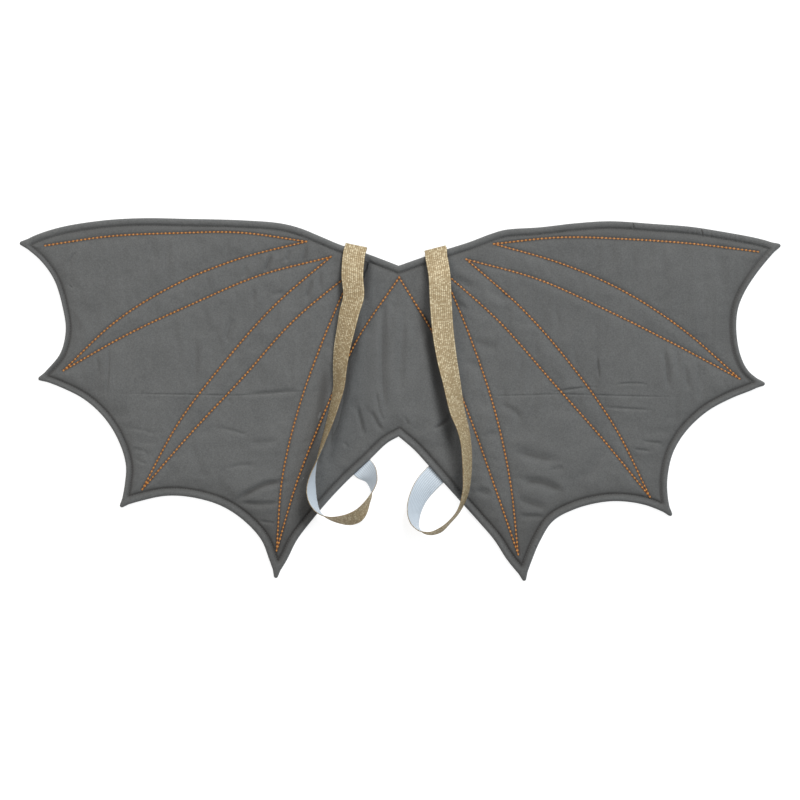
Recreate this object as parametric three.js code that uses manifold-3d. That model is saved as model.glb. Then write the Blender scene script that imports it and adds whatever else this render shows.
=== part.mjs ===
// Child's dragon wings, lying flat on their back: two cotton panels quilted over thin wadding, with a rolled,
// topstitched rim, and two elastic arm loops whose ends are caught in the edge seam.
// Millimetres. +X points to the right wing tip, +Y to the neck and +Z up. The origin is on the surface that the
// wings lie on, under the middle of their outline.

import * as THREE from "three";
import { mergeVertices } from "three/addons/utils/BufferGeometryUtils.js";
import Module from "manifold-3d";

const wasm = await Module();
wasm.setup();

// Overall size
const SPAN = 856; // wing tip to wing tip
const HEIGHT = 408; // top edge to the lowest points

// Padding and seams, as heights above the surface that the wings lie on
const PAD_HEIGHT = 6.5; // the wadding's full loft, away from any stitching
const STITCHED_HEIGHT = 3.9; // where stitches pull the front down
const PUFF_REACH = 5; // how far from a seam the wadding has risen by two thirds
const SEAM_HEIGHT = 2.4; // the edge seam between the front and back panels
const SEAM_GAP = 0.3; // between the two panels
const RIM_WIDTH = 8; // from the edge to the topstitching
const RIM_HEIGHT = 5.9; // crown of the rolled rim
const RIM_SHOULDER = 0.13; // where the rim's outer side stops being steep, as a share of its width
const RIM_CROWN = 0.45; // where the rim is highest
const SHOULDER_RISE = 0.62; // how much of the rim's rise is at its shoulder
const BACK_ROUND = 4.5; // how far in the rim's underside rounds down to the surface
const BACK_SHOULDER = 0.35; // share of that at which the underside is nearly down
const BACK_SHOULDER_RISE = 0.3; // its height there, as a share of the seam's

// Elastic arm loops
const STRAP_WIDTH = 25;
const STRAP_THICKNESS = 1.2;
const STRAP_TUCK = 14; // length of each end that is caught in the seam
const STRAP_CLEARANCE = 0.35; // round a tucked end
const STRAP_OVERHANG = 5.5; // how far the top fold stands beyond the edge
const STRAP_REST_GAP = 0.6; // between a loop and what it lies on
const TUCK_BULGE = 1.1; // how much a tucked end lifts the front panel above it
const BULGE_START = 1; // how far beside a tucked end the front begins to drop
const BULGE_END = 9; // how far beside it the front is down again
const POCKET_OPENING = 2; // how far the pocket for a tucked end runs out of the edge
const SEAM_LEAD = 3; // how far outside the seam a loop's lower end lies flat

// Spacing of the surface's points
const EDGE_STEP = 10;
const RIB_STEP = 12;
const RIB_SIDE = 5; // from a rib's stitches to the row of points beside it
const SIDE_CLEAR = 0.95 * RIB_SIDE; // from those points to any other seam
const INNER_ROW = 1.3 * RIB_SIDE; // from the topstitching to the row of points inside it
const INNER_CLEAR = 1.15 * RIB_SIDE; // from those points to any seam
const OPEN_STEP = 21; // away from the seams
const OPEN_ROW = 0.87 * OPEN_STEP; // between two rows of such points
const OPEN_CLEAR = 0.55 * OPEN_STEP; // from such a point to any other and to any seam
const OPEN_NUDGE = { size: 1, x: 12.9, y: 78.2 }; // shifts them a little, so that no four lie on one circle
const STRAP_STEP = 5.5;
const STRETCH_PARTS = 200; // in which a place along a stretch is found
const STRAIGHTENING = 400; // times that the webbing is pulled straight between what holds it up

// The outline, anticlockwise seen from above, as stretches between sharp corners. Each runs through its points to
// the first point of the next. A point is [share of half the span, share of the height]; rim is the topstitched
// rim's width there, as a share of RIM_WIDTH.
const STRETCHES = [
  {
    name: "left top",
    rim: 1.04,
    points: [
      [-0.004, 0.369], [-0.079, 0.399], [-0.158, 0.427], [-0.21, 0.45], [-0.263, 0.4725], [-0.315, 0.486],
      [-0.42, 0.4945], [-0.552, 0.498], [-0.683, 0.5], [-0.788, 0.493], [-0.893, 0.475], [-0.959, 0.453],
    ],
  },
  {
    name: "left outer scallop",
    rim: 0.66,
    points: [
      [-1, 0.431], [-0.946, 0.384], [-0.909, 0.329], [-0.886, 0.249], [-0.879, 0.191], [-0.893, 0.128], [-0.93, 0.08],
    ],
  },
  {
    name: "left middle scallop",
    rim: 0.82,
    points: [
      [-0.951, 0.0565], [-0.893, 0.034], [-0.83, 0], [-0.778, -0.05], [-0.741, -0.112], [-0.721, -0.18],
      [-0.724, -0.235],
    ],
  },
  {
    name: "left inner scallop",
    rim: 1.08,
    points: [
      [-0.735, -0.296], [-0.683, -0.28], [-0.618, -0.266], [-0.552, -0.269], [-0.473, -0.292], [-0.413, -0.332],
      [-0.365, -0.387], [-0.344, -0.442],
    ],
  },
  {
    name: "left tail",
    rim: 0.98,
    points: [
      [-0.327, -0.492], [-0.297, -0.441], [-0.271, -0.387], [-0.231, -0.332], [-0.187, -0.277], [-0.137, -0.222],
      [-0.081, -0.167], [-0.034, -0.12],
    ],
  },
  {
    name: "right tail",
    rim: 1.02,
    points: [
      [-0.004, -0.102], [0.037, -0.139], [0.066, -0.172], [0.108, -0.222], [0.155, -0.277], [0.202, -0.332],
      [0.247, -0.387], [0.281, -0.442],
    ],
  },
  {
    name: "right inner scallop",
    rim: 1.04,
    points: [
      [0.327, -0.5], [0.344, -0.45], [0.368, -0.39], [0.402, -0.335], [0.46, -0.302], [0.526, -0.284],
      [0.578, -0.2805], [0.644, -0.291],
    ],
  },
  {
    name: "right middle scallop",
    rim: 0.92,
    points: [
      [0.7135, -0.32], [0.704, -0.269], [0.703, -0.216], [0.7175, -0.147], [0.752, -0.087], [0.807, -0.033],
      [0.87, 0.003], [0.925, 0.026],
    ],
  },
  {
    name: "right outer scallop",
    rim: 0.8,
    points: [
      [0.959, 0.043], [0.915, 0.08], [0.894, 0.125], [0.884, 0.191], [0.888, 0.249], [0.904, 0.293], [0.93, 0.3375],
      [0.9645, 0.384],
    ],
  },
  {
    name: "right top",
    rim: 1.04,
    points: [
      [1, 0.4256], [0.946, 0.443], [0.841, 0.464], [0.762, 0.4766], [0.67, 0.484], [0.552, 0.4917], [0.46, 0.486],
      [0.368, 0.475], [0.276, 0.468], [0.2365, 0.456], [0.184, 0.435], [0.1235, 0.4146], [0.053, 0.39],
    ],
  },
];

// The rib stitching: one zigzag from wing tip to wing tip that draws the finger bones. Each row is a turning point,
// as shares of half the span and of the height, and how far the line to the next one bows to its left at a
// quarter, half and three quarters of its way, as shares of its length.
const RIB_TURNS = [
  { name: "left leading edge", x: -0.932, y: 0.424, bows: [0.032, 0.04, 0.038] },
  { name: "left wrist", x: -0.247, y: 0.435, bows: [-0.06, -0.085, -0.068] },
  { name: "left first finger", x: -0.884, y: 0.08, bows: [0.028, 0.037, 0.037] },
  { name: "left elbow", x: -0.183, y: 0.3925, bows: [-0.044, -0.054, -0.046] },
  { name: "left second finger", x: -0.677, y: -0.247, bows: [0.013, 0.017, 0.027] },
  { name: "left shoulder", x: -0.126, y: 0.352, bows: [-0.035, -0.055, -0.047] },
  { name: "left third finger", x: -0.3245, y: -0.416, bows: [0.033, 0.043, 0.043] },
  { name: "nape", x: -0.0025, y: 0.336, bows: [0.034, 0.033, 0.018] },
  { name: "right third finger", x: 0.31, y: -0.4265, bows: [-0.038, -0.049, -0.033] },
  { name: "right shoulder", x: 0.112, y: 0.354, bows: [0.024, 0.019, 0.014] },
  { name: "right second finger", x: 0.656, y: -0.268, bows: [-0.049, -0.061, -0.047] },
  { name: "right elbow", x: 0.174, y: 0.386, bows: [0.035, 0.032, 0.019] },
  { name: "right first finger", x: 0.891, y: 0.0575, bows: [-0.055, -0.075, -0.055] },
  { name: "right wrist", x: 0.2465, y: 0.4285, bows: [0.032, 0.033, 0.023] },
  { name: "right leading edge", x: 0.94, y: 0.407 },
];

// The main folds and dents of the front panel, each a soft line between two points given as shares of half the
// span and of the height. wide and rise are shares of PAD_HEIGHT; a negative rise is a dent.
const FOLDS = [
  { name: "ironed crease, left", from: [-0.76, 0.018], to: [-0.19, 0.012], wide: 1.1, rise: -0.08 },
  { name: "ironed crease, right", from: [0.2, 0.012], to: [0.78, 0.0], wide: 1.1, rise: -0.08 },
  { name: "ironed crease, left wing", from: [-0.768, 0.15], to: [-0.762, 0.018], wide: 1, rise: -0.07 },
  { name: "fold up from the tail notch", from: [-0.02, -0.07], to: [-0.045, 0.2], wide: 1.6, rise: -0.13 },
  { name: "fold left of the tail notch", from: [-0.03, -0.06], to: [-0.075, 0.01], wide: 1.3, rise: -0.12 },
  { name: "fold right of the middle", from: [0.035, -0.02], to: [0.012, 0.25], wide: 1.6, rise: -0.11 },
  { name: "dent beside the right loop", from: [0.1, -0.03], to: [0.11, -0.2], wide: 2, rise: -0.12 },
  { name: "pucker over the left third finger", from: [-0.43, -0.27], to: [-0.29, -0.21], wide: 1.1, rise: -0.12 },
  { name: "pucker under it", from: [-0.42, -0.28], to: [-0.33, -0.278], wide: 1, rise: -0.1 },
  { name: "pucker over the right third finger", from: [0.31, -0.205], to: [0.43, -0.25], wide: 1.3, rise: -0.13 },
  { name: "pucker beside it", from: [0.3, -0.13], to: [0.44, -0.16], wide: 1.5, rise: -0.1 },
  { name: "pucker near the right edge", from: [0.55, -0.02], to: [0.7, -0.03], wide: 1.2, rise: -0.1 },
  { name: "drag line by the left wrist", from: [-0.31, 0.36], to: [-0.26, 0.42], wide: 1, rise: -0.1 },
];

// The arm loops. Each leaves the seam of one stretch, folds over the edge, runs down the front, stands on its edge
// round a loop below the tail and goes back into the seam of another stretch with its inner side up. at is the
// share of the stretch's length. A row is the middle of the webbing: shares of half the span and of the height,
// how far its inner edge is tilted up in degrees, and how far it is lifted off what lies below, as a share of
// STRAP_WIDTH.
const STRAPS = [
  {
    name: "strap_left",
    inner: 1, // the side of the run, left or right, that the loop's middle is on
    top: { stretch: "left top", at: 0.1175 },
    bottom: { stretch: "left tail", at: 0.747 },
    rows: [
      { x: -0.1215, y: 0.395, tilt: 2, lift: 0.02 },
      { x: -0.125, y: 0.34, tilt: 12, lift: 0.3 },
      { x: -0.1215, y: 0.285, tilt: 18, lift: 0.34 },
      { x: -0.133, y: 0.237, tilt: 26, lift: 0.24 },
      { x: -0.143, y: 0.186, tilt: 35, lift: 0.1 },
      { x: -0.152, y: 0.139, tilt: 42, lift: 0 },
      { x: -0.1575, y: 0.085, tilt: 51, lift: 0 },
      { x: -0.1605, y: 0.034, tilt: 59, lift: 0 },
      { x: -0.171, y: -0.014, tilt: 66, lift: 0 },
      { x: -0.1835, y: -0.06, tilt: 72, lift: 0 },
      { x: -0.201, y: -0.115, tilt: 80, lift: 0 },
      { x: -0.219, y: -0.171, tilt: 90, lift: 0 },
      { x: -0.23, y: -0.214, tilt: 104, lift: 0 },
      { x: -0.2325, y: -0.252, tilt: 113, lift: 0 },
      { x: -0.225, y: -0.287, tilt: 107, lift: 0 },
      { x: -0.2085, y: -0.313, tilt: 92, lift: 0 },
      { x: -0.182, y: -0.3265, tilt: 80, lift: 0 },
      { x: -0.153, y: -0.33, tilt: 66, lift: 0 },
      { x: -0.131, y: -0.3285, tilt: 56, lift: 0 },
      { x: -0.1115, y: -0.32, tilt: 54, lift: 0 },
      { x: -0.0975, y: -0.304, tilt: 63, lift: 0 },
      { x: -0.0865, y: -0.2835, tilt: 76, lift: 0 },
      { x: -0.0765, y: -0.262, tilt: 86, lift: 0 },
      { x: -0.0735, y: -0.2415, tilt: 104, lift: 0 },
      { x: -0.0745, y: -0.2245, tilt: 121, lift: 0 },
      { x: -0.08, y: -0.21, tilt: 140, lift: 0 },
    ],
  },
  {
    name: "strap_right",
    inner: -1,
    top: { stretch: "right top", at: 0.8975 },
    bottom: { stretch: "right tail", at: 0.276 },
    rows: [
      { x: 0.0945, y: 0.395, tilt: 2, lift: 0.02 },
      { x: 0.103, y: 0.34, tilt: 8, lift: 0.3 },
      { x: 0.106, y: 0.274, tilt: 9, lift: 0.36 },
      { x: 0.1115, y: 0.192, tilt: 15, lift: 0.26 },
      { x: 0.122, y: 0.114, tilt: 25, lift: 0.1 },
      { x: 0.134, y: 0.051, tilt: 36, lift: 0 },
      { x: 0.149, y: -0.03, tilt: 47, lift: 0 },
      { x: 0.163, y: -0.075, tilt: 56, lift: 0 },
      { x: 0.1715, y: -0.115, tilt: 61, lift: 0 },
      { x: 0.175, y: -0.161, tilt: 63, lift: 0 },
      { x: 0.175, y: -0.208, tilt: 67, lift: 0 },
      { x: 0.171, y: -0.255, tilt: 73, lift: 0 },
      { x: 0.154, y: -0.304, tilt: 80, lift: 0 },
      { x: 0.1285, y: -0.337, tilt: 81, lift: 0 },
      { x: 0.1045, y: -0.359, tilt: 76, lift: 0 },
      { x: 0.079, y: -0.368, tilt: 80, lift: 0 },
      { x: 0.059, y: -0.364, tilt: 86, lift: 0 },
      { x: 0.0475, y: -0.355, tilt: 96, lift: 0 },
      { x: 0.0395, y: -0.339, tilt: 112, lift: 0 },
      { x: 0.0365, y: -0.316, tilt: 126, lift: 0 },
      { x: 0.0385, y: -0.297, tilt: 135, lift: 0 },
      { x: 0.0455, y: -0.274, tilt: 144, lift: 0 },
      { x: 0.0565, y: -0.252, tilt: 155, lift: 0 },
      { x: 0.0715, y: -0.2305, tilt: 171, lift: 0 },
    ],
  },
];

const COTTON = new THREE.MeshStandardMaterial({ color: 0x656564, roughness: 0.92, metalness: 0 });
const ELASTIC = new THREE.MeshStandardMaterial({ color: 0xb5a585, roughness: 0.5, metalness: 0.35 });

const onPanel = ([x, y]) => new THREE.Vector2((x * SPAN) / 2, y * HEIGHT);
const leftOf = (v) => new THREE.Vector2(-v.y, v.x);

function distanceToSegment(p, a, b) {
  const along = b.clone().sub(a);
  const share = p.clone().sub(a).dot(along) / along.lengthSq();
  return a.clone().addScaledVector(along, THREE.MathUtils.clamp(share, 0, 1)).distanceTo(p);
}

function distanceToLine(p, line, closed = false) {
  let nearest = Infinity;
  for (let i = closed ? 0 : 1; i < line.length; i++) {
    nearest = Math.min(nearest, distanceToSegment(p, line.at(i - 1), line[i]));
  }
  return nearest;
}

function isInside(p, ring) {
  let inside = false;
  ring.forEach((b, i) => {
    const a = ring.at(i - 1);
    if (a.y > p.y !== b.y > p.y && p.x < a.x + ((b.x - a.x) * (p.y - a.y)) / (b.y - a.y)) inside = !inside;
  });
  return inside;
}

// Points along a line of straight pieces, evenly spaced from its first point to its last.
function spaced(line, count) {
  const reach = [0];
  for (let i = 1; i < line.length; i++) reach.push(reach[i - 1] + line[i].distanceTo(line[i - 1]));
  const points = [];
  for (let k = 0, i = 1; k < count; k++) {
    const at = (reach.at(-1) * k) / (count - 1);
    while (i < line.length - 1 && reach[i] < at) i++;
    points.push(line[i - 1].clone().lerp(line[i], (at - reach[i - 1]) / (reach[i] - reach[i - 1])));
  }
  return points;
}

// A smooth curve through plane points, as a fine line.
function curveThrough(points) {
  const curve = new THREE.CatmullRomCurve3(
    points.map((p) => new THREE.Vector3(p.x, p.y, 0)),
    false,
    "centripetal",
  );
  return curve.getSpacedPoints(points.length * 8).map((p) => new THREE.Vector2(p.x, p.y));
}

const stretches = STRETCHES.map(({ name, rim, points }, i) => {
  const corners = [...points, STRETCHES[(i + 1) % STRETCHES.length].points[0]].map(onPanel);
  const line = curveThrough(corners);
  const length = line.reduce((sum, p, k) => sum + (k ? p.distanceTo(line[k - 1]) : 0), 0);
  return { name, line, rimWidth: rim * RIM_WIDTH, steps: Math.round(length / EDGE_STEP) };
});

// A stretch moved inwards, with its ends run on straight so that it crosses its neighbours' at any corner.
function movedIn({ line }, distance) {
  const moved = line.map((p, i) => {
    const along = (line[i + 1] ?? p).clone().sub(line[i - 1] ?? p).normalize();
    return p.clone().addScaledVector(leftOf(along), distance);
  });
  const runOn = (end, before) => end.clone().addScaledVector(end.clone().sub(before).normalize(), 4 * distance);
  return [runOn(moved[0], moved[1]), ...moved, runOn(moved.at(-1), moved.at(-2))];
}

// Where line a, searched from its end, first crosses line b, searched from its start.
function crossing(a, b) {
  for (let i = a.length - 1; i > 0; i--) {
    for (let k = 1; k < b.length; k++) {
      const r = a[i].clone().sub(a[i - 1]);
      const s = b[k].clone().sub(b[k - 1]);
      const apart = b[k - 1].clone().sub(a[i - 1]);
      const turn = r.cross(s);
      const onA = apart.cross(s) / turn;
      const onB = apart.cross(r) / turn;
      if (onA >= 0 && onA <= 1 && onB >= 0 && onB <= 1) {
        return { point: a[i - 1].clone().addScaledVector(r, onA), onA: i, onB: k };
      }
    }
  }
  throw new Error("two neighbouring stretches of the rim never meet");
}

// The outline moved inwards: by a share of each stretch's rim, and by a length besides. Rings have their points
// side by side, so that strips of faces join them.
function ringAt(rimShare, further = 0) {
  const moved = stretches.map((stretch) => {
    const distance = rimShare * stretch.rimWidth + further;
    return distance > 0 ? movedIn(stretch, distance) : stretch.line;
  });
  if (rimShare === 0 && further === 0) {
    return stretches.flatMap(({ line, steps }) => spaced(line, steps + 1).slice(0, -1));
  }
  const corners = moved.map((line, i) => crossing(moved.at(i - 1), line));
  return stretches.flatMap(({ steps }, i) => {
    const start = corners[i];
    const end = corners[(i + 1) % corners.length];
    const between = moved[i].slice(start.onB, end.onA);
    return spaced([start.point, ...between, end.point], steps + 1).slice(0, -1);
  });
}

const outline = ringAt(0);
const stitchRing = ringAt(1);

// The rib between two turning points, as a fine line.
function ribLine(from, to) {
  const start = onPanel([from.x, from.y]);
  const end = onPanel([to.x, to.y]);
  const along = end.clone().sub(start);
  const bowed = from.bows.map((bow, i) =>
    start.clone().addScaledVector(along, (i + 1) / 4).addScaledVector(leftOf(along), bow),
  );
  return curveThrough([start, ...bowed, end]);
}

const ribs = RIB_TURNS.slice(1).map((turn, i) => ribLine(RIB_TURNS[i], turn));

function distanceToRibs(p, except = -1) {
  return Math.min(...ribs.map((rib, i) => (i === except ? Infinity : distanceToLine(p, rib))));
}

const folds = FOLDS.map(({ from, to, wide, rise }) => ({
  line: [onPanel(from), onPanel(to)],
  wide: wide * PAD_HEIGHT,
  rise: rise * PAD_HEIGHT,
}));

// A point on the edge and the direction that points straight out of it.
function onEdge({ stretch, at }) {
  const { line } = stretches.find(({ name }) => name === stretch);
  const fine = spaced(line, STRETCH_PARTS + 1);
  const i = Math.round(at * STRETCH_PARTS);
  const along = fine[i + 1].clone().sub(fine[i - 1]).normalize();
  return { point: fine[i], out: leftOf(along).negate() };
}

const tucks = STRAPS.flatMap(({ top, bottom }) => [onEdge(top), onEdge(bottom)]);

// How much the tucked strap ends raise the front at a point: fully over the end, and fading in a few millimetres.
function tuckBulge(p) {
  const share = Math.max(
    ...tucks.map(({ point, out }) => {
      const from = p.clone().sub(point);
      const aside = Math.abs(from.dot(leftOf(out))) - STRAP_WIDTH / 2;
      const inwards = -from.dot(out) - STRAP_TUCK;
      return 1 - THREE.MathUtils.smoothstep(Math.max(aside, inwards), BULGE_START, BULGE_END);
    }),
  );
  return TUCK_BULGE * share;
}

// The height of the front panel inside its topstitching.
function frontHeight(p) {
  const fromSeam = Math.min(distanceToLine(p, stitchRing, true), distanceToRibs(p));
  const puff = 1 - Math.exp(-fromSeam / PUFF_REACH);
  const folded = folds.reduce((sum, { line, wide, rise }) => {
    return sum + rise * Math.exp(-((distanceToLine(p, line) / wide) ** 2));
  }, 0);
  return STITCHED_HEIGHT + (PAD_HEIGHT - STITCHED_HEIGHT + folded) * puff + tuckBulge(p);
}

// Delaunay triangles of plane points, each turning anticlockwise, by adding one point at a time.
function triangulate(points) {
  const far = 4 * (SPAN + HEIGHT);
  const all = [...points, { x: -far, y: -far }, { x: far, y: -far }, { x: 0, y: far }];
  const withCircle = (a, b, c) => {
    const [p, q, r] = [all[a], all[b], all[c]];
    const d = 2 * (p.x * (q.y - r.y) + q.x * (r.y - p.y) + r.x * (p.y - q.y));
    const [pp, qq, rr] = [p, q, r].map(({ x, y }) => x * x + y * y);
    const x = (pp * (q.y - r.y) + qq * (r.y - p.y) + rr * (p.y - q.y)) / d;
    const y = (pp * (r.x - q.x) + qq * (p.x - r.x) + rr * (q.x - p.x)) / d;
    return { corners: [a, b, c], x, y, radius2: (p.x - x) ** 2 + (p.y - y) ** 2 };
  };
  let triangles = [withCircle(points.length, points.length + 1, points.length + 2)];
  points.forEach((p, i) => {
    const holed = triangles.filter((t) => (p.x - t.x) ** 2 + (p.y - t.y) ** 2 < t.radius2);
    const sides = new Map();
    for (const { corners } of holed) {
      corners.forEach((from, k) => {
        const to = corners[(k + 1) % 3];
        if (!sides.delete(`${to} ${from}`)) sides.set(`${from} ${to}`, [from, to]);
      });
    }
    const gone = new Set(holed);
    triangles = triangles.filter((t) => !gone.has(t));
    for (const [from, to] of sides.values()) triangles.push(withCircle(from, to, i));
  });
  return triangles.map((t) => t.corners).filter((corners) => corners.every((i) => i < points.length));
}

// The points of the front panel's top inside the topstitching: along the ribs and beside them, beside the
// topstitching, and in rows over the open cloth. Each keeps clear of the seams that it doesn't belong to.
function openPoints() {
  const kept = [];
  const add = (p, clear, rib = -1) => {
    const fits = isInside(p, stitchRing) && distanceToLine(p, stitchRing, true) > clear;
    if (fits && distanceToRibs(p, rib) > clear && kept.every((other) => other.distanceTo(p) > clear)) kept.push(p);
  };
  ribs.forEach((rib) => {
    const length = rib.reduce((sum, p, i) => sum + (i ? p.distanceTo(rib[i - 1]) : 0), 0);
    const onRib = spaced(rib, Math.round(length / RIB_STEP) + 1);
    kept.push(...onRib.slice(0, -1));
  });
  kept.push(ribs.at(-1).at(-1));
  ribs.forEach((rib, r) => {
    const length = rib.reduce((sum, p, i) => sum + (i ? p.distanceTo(rib[i - 1]) : 0), 0);
    const onRib = spaced(rib, Math.round(length / RIB_STEP) + 1);
    onRib.slice(1, -1).forEach((p, i) => {
      const side = leftOf(onRib[i + 2].clone().sub(onRib[i]).normalize()).multiplyScalar(RIB_SIDE);
      add(p.clone().add(side), SIDE_CLEAR, r);
      add(p.clone().sub(side), SIDE_CLEAR, r);
    });
  });
  ringAt(1, INNER_ROW).forEach((p) => add(p, INNER_CLEAR));
  for (let row = 0, y = -HEIGHT / 2; y < HEIGHT / 2; row++, y += OPEN_ROW) {
    for (let x = -SPAN / 2 + (row % 2) * (OPEN_STEP / 2); x < SPAN / 2; x += OPEN_STEP) {
      const nudge = OPEN_NUDGE.size * Math.sin(x * OPEN_NUDGE.x + y * OPEN_NUDGE.y);
      add(new THREE.Vector2(x + nudge, y - nudge), OPEN_CLEAR);
    }
  }
  return kept;
}

function geometryOf(vertices, triangles) {
  const geometry = new THREE.BufferGeometry();
  geometry.setAttribute("position", new THREE.Float32BufferAttribute(vertices.flat(), 3));
  geometry.setIndex(triangles.flat());
  return geometry;
}

const atHeight = (ring, height) => ring.map((p) => [p.x, p.y, typeof height === "number" ? height : height(p)]);

// The faces between two rings of count points, whose first points are numbered outer and inner, seen from above.
function strip(outer, inner, count) {
  return Array.from({ length: count }, (_, i) => {
    const next = (i + 1) % count;
    return [
      [outer + i, outer + next, inner + next],
      [outer + i, inner + next, inner + i],
    ];
  }).flat();
}

const flip = (triangles) => triangles.map(([a, b, c]) => [a, c, b]);
const flatCap = (ring) => THREE.ShapeUtils.triangulateShape(ring, []);

// The quilted front: a flat underside, the rolled rim as strips of faces, and the padded cloth inside it.
function frontPanel() {
  const rim = [
    { ring: outline, height: SEAM_HEIGHT + SEAM_GAP / 2 },
    { ring: ringAt(RIM_SHOULDER), height: THREE.MathUtils.lerp(SEAM_HEIGHT, RIM_HEIGHT, SHOULDER_RISE) },
    { ring: ringAt(RIM_CROWN), height: (p) => RIM_HEIGHT + tuckBulge(p) },
    { ring: stitchRing, height: (p) => STITCHED_HEIGHT + tuckBulge(p) },
  ];
  const count = outline.length;
  const open = openPoints();
  const cloth = [...stitchRing, ...open];
  const stitchStart = count * (rim.length - 1);
  const vertices = [
    ...rim.flatMap(({ ring, height }) => atHeight(ring, height)),
    ...atHeight(open, frontHeight),
  ];
  const inner = triangulate(cloth).filter(([a, b, c]) => {
    const middle = cloth[a].clone().add(cloth[b]).add(cloth[c]).divideScalar(3);
    return isInside(middle, stitchRing);
  });
  return geometryOf(vertices, [
    ...rim.slice(1).flatMap((_, i) => strip(i * count, (i + 1) * count, count)),
    ...inner.map((corners) => corners.map((i) => i + stitchStart)),
    ...flip(flatCap(outline)),
  ]);
}

// The back panel, flat where it lies, with the rim's underside rounding up to the seam.
function backPanel() {
  const base = ringAt(0, BACK_ROUND);
  const count = outline.length;
  const vertices = [
    ...atHeight(outline, SEAM_HEIGHT - SEAM_GAP / 2),
    ...atHeight(ringAt(0, BACK_ROUND * BACK_SHOULDER), SEAM_HEIGHT * BACK_SHOULDER_RISE),
    ...atHeight(base, 0),
  ];
  return geometryOf(vertices, [
    ...flatCap(outline),
    ...flip(strip(0, count, count)),
    ...flip(strip(count, 2 * count, count)),
    ...flip(flatCap(base)).map((corners) => corners.map((i) => i + 2 * count)),
  ]);
}

function solidOf(geometry) {
  const bare = geometry.clone().deleteAttribute("normal").deleteAttribute("uv");
  const merged = mergeVertices(bare, 1e-4);
  return new wasm.Manifold(
    new wasm.Mesh({
      numProp: 3,
      vertProperties: merged.attributes.position.array,
      triVerts: new Uint32Array(merged.index.array),
    }),
  );
}

// Cuts the pockets that the tucked strap ends lie in.
function withPockets(panel) {
  let solid = solidOf(panel);
  for (const { point, out } of tucks) {
    const pocket = new THREE.BoxGeometry(
      STRAP_WIDTH + 2 * STRAP_CLEARANCE,
      STRAP_TUCK + STRAP_CLEARANCE + POCKET_OPENING,
      STRAP_THICKNESS + 2 * STRAP_CLEARANCE,
    );
    pocket.translate(0, (POCKET_OPENING - STRAP_TUCK - STRAP_CLEARANCE) / 2, 0);
    pocket.rotateZ(Math.atan2(out.y, out.x) - Math.PI / 2);
    pocket.translate(point.x, point.y, SEAM_HEIGHT);
    solid = solid.subtract(solidOf(pocket));
  }
  const { vertProperties, triVerts } = solid.getMesh();
  const cut = new THREE.BufferGeometry();
  cut.setAttribute("position", new THREE.BufferAttribute(vertProperties, 3));
  cut.setIndex(new THREE.BufferAttribute(triVerts, 1));
  return cut;
}

// A value between rows p1 and p2, on the smooth curve that p0 to p3 give.
function smoothBetween(p0, p1, p2, p3, t) {
  const pull = (p2 - p0) / 2;
  const push = (p3 - p1) / 2;
  return p1 + pull * t + (3 * (p2 - p1) - 2 * pull - push) * t ** 2 + (2 * (p1 - p2) + pull + push) * t ** 3;
}

// The rows of a whole strap, from its tucked top end to its tucked bottom end. Each has its place (x, y), the
// direction of its inner edge in plan (turn), its tilt, its lift and, where the seam or the fold holds it, its z.
function strapRows({ inner, top, bottom, rows }) {
  const leave = onEdge(top);
  const enter = onEdge(bottom);
  const route = rows.map((row) => ({ ...row, ...xy(onPanel([row.x, row.y])) }));
  const restHeight = PAD_HEIGHT + STRAP_REST_GAP + STRAP_THICKNESS / 2;
  const foldRadius = (restHeight - SEAM_HEIGHT) / 2;
  const seamTurn = Math.atan2(leave.out.y, leave.out.x) + (inner * Math.PI) / 2;
  const firstTurn = Math.atan2(route[1].y - route[0].y, route[1].x - route[0].x) + (inner * Math.PI) / 2;
  const startTurn = nearTo(seamTurn - Math.PI, firstTurn);
  const outFrom = ({ point, out }, distance) => xy(point.clone().addScaledVector(out, distance));
  const foldAt = STRAP_OVERHANG - foldRadius - STRAP_THICKNESS / 2;
  const held = { tilt: 0, lift: 0, turn: startTurn };
  const fold = [-90, -45, 0, 45, 90].map((angle, i, all) => ({
    ...held,
    ...outFrom(leave, foldAt + foldRadius * Math.cos(THREE.MathUtils.degToRad(angle))),
    z: SEAM_HEIGHT + foldRadius * (1 + Math.sin(THREE.MathUtils.degToRad(angle))),
    turn: THREE.MathUtils.lerp(startTurn, firstTurn, i / all.length),
  }));
  const enterTurn = Math.atan2(-enter.out.y, -enter.out.x) + (inner * Math.PI) / 2;
  const tail = [SEAM_LEAD, 0, -STRAP_TUCK / 2, -STRAP_TUCK].map((distance) => ({
    ...outFrom(enter, distance),
    tilt: 180,
    lift: 0,
    turn: enterTurn,
    z: SEAM_HEIGHT,
  }));
  const all = [
    ...[-STRAP_TUCK, -STRAP_TUCK / 2, 0].map((distance) => ({
      ...held,
      ...outFrom(leave, distance),
      z: SEAM_HEIGHT,
    })),
    ...fold,
    ...route,
    ...tail,
  ];
  all.forEach((row, i) => {
    if (row.turn === undefined) {
      const heading = Math.atan2(all[i + 1].y - all[i - 1].y, all[i + 1].x - all[i - 1].x);
      row.turn = heading + (inner * Math.PI) / 2;
    }
    if (i > 0) row.turn = nearTo(row.turn, all[i - 1].turn);
  });
  return all;
}

const xy = ({ x, y }) => ({ x, y });

// The same direction as angle, written within half a turn of another.
function nearTo(angle, other) {
  return angle - 2 * Math.PI * Math.round((angle - other) / (2 * Math.PI));
}

// What a loop lies on at a point: the padded cloth, or the surface below where there is none.
function restsOn(p) {
  const overCloth = isInside(p, outline) || distanceToLine(p, outline, true) < STRAP_THICKNESS;
  return overCloth ? PAD_HEIGHT : 0;
}

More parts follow.
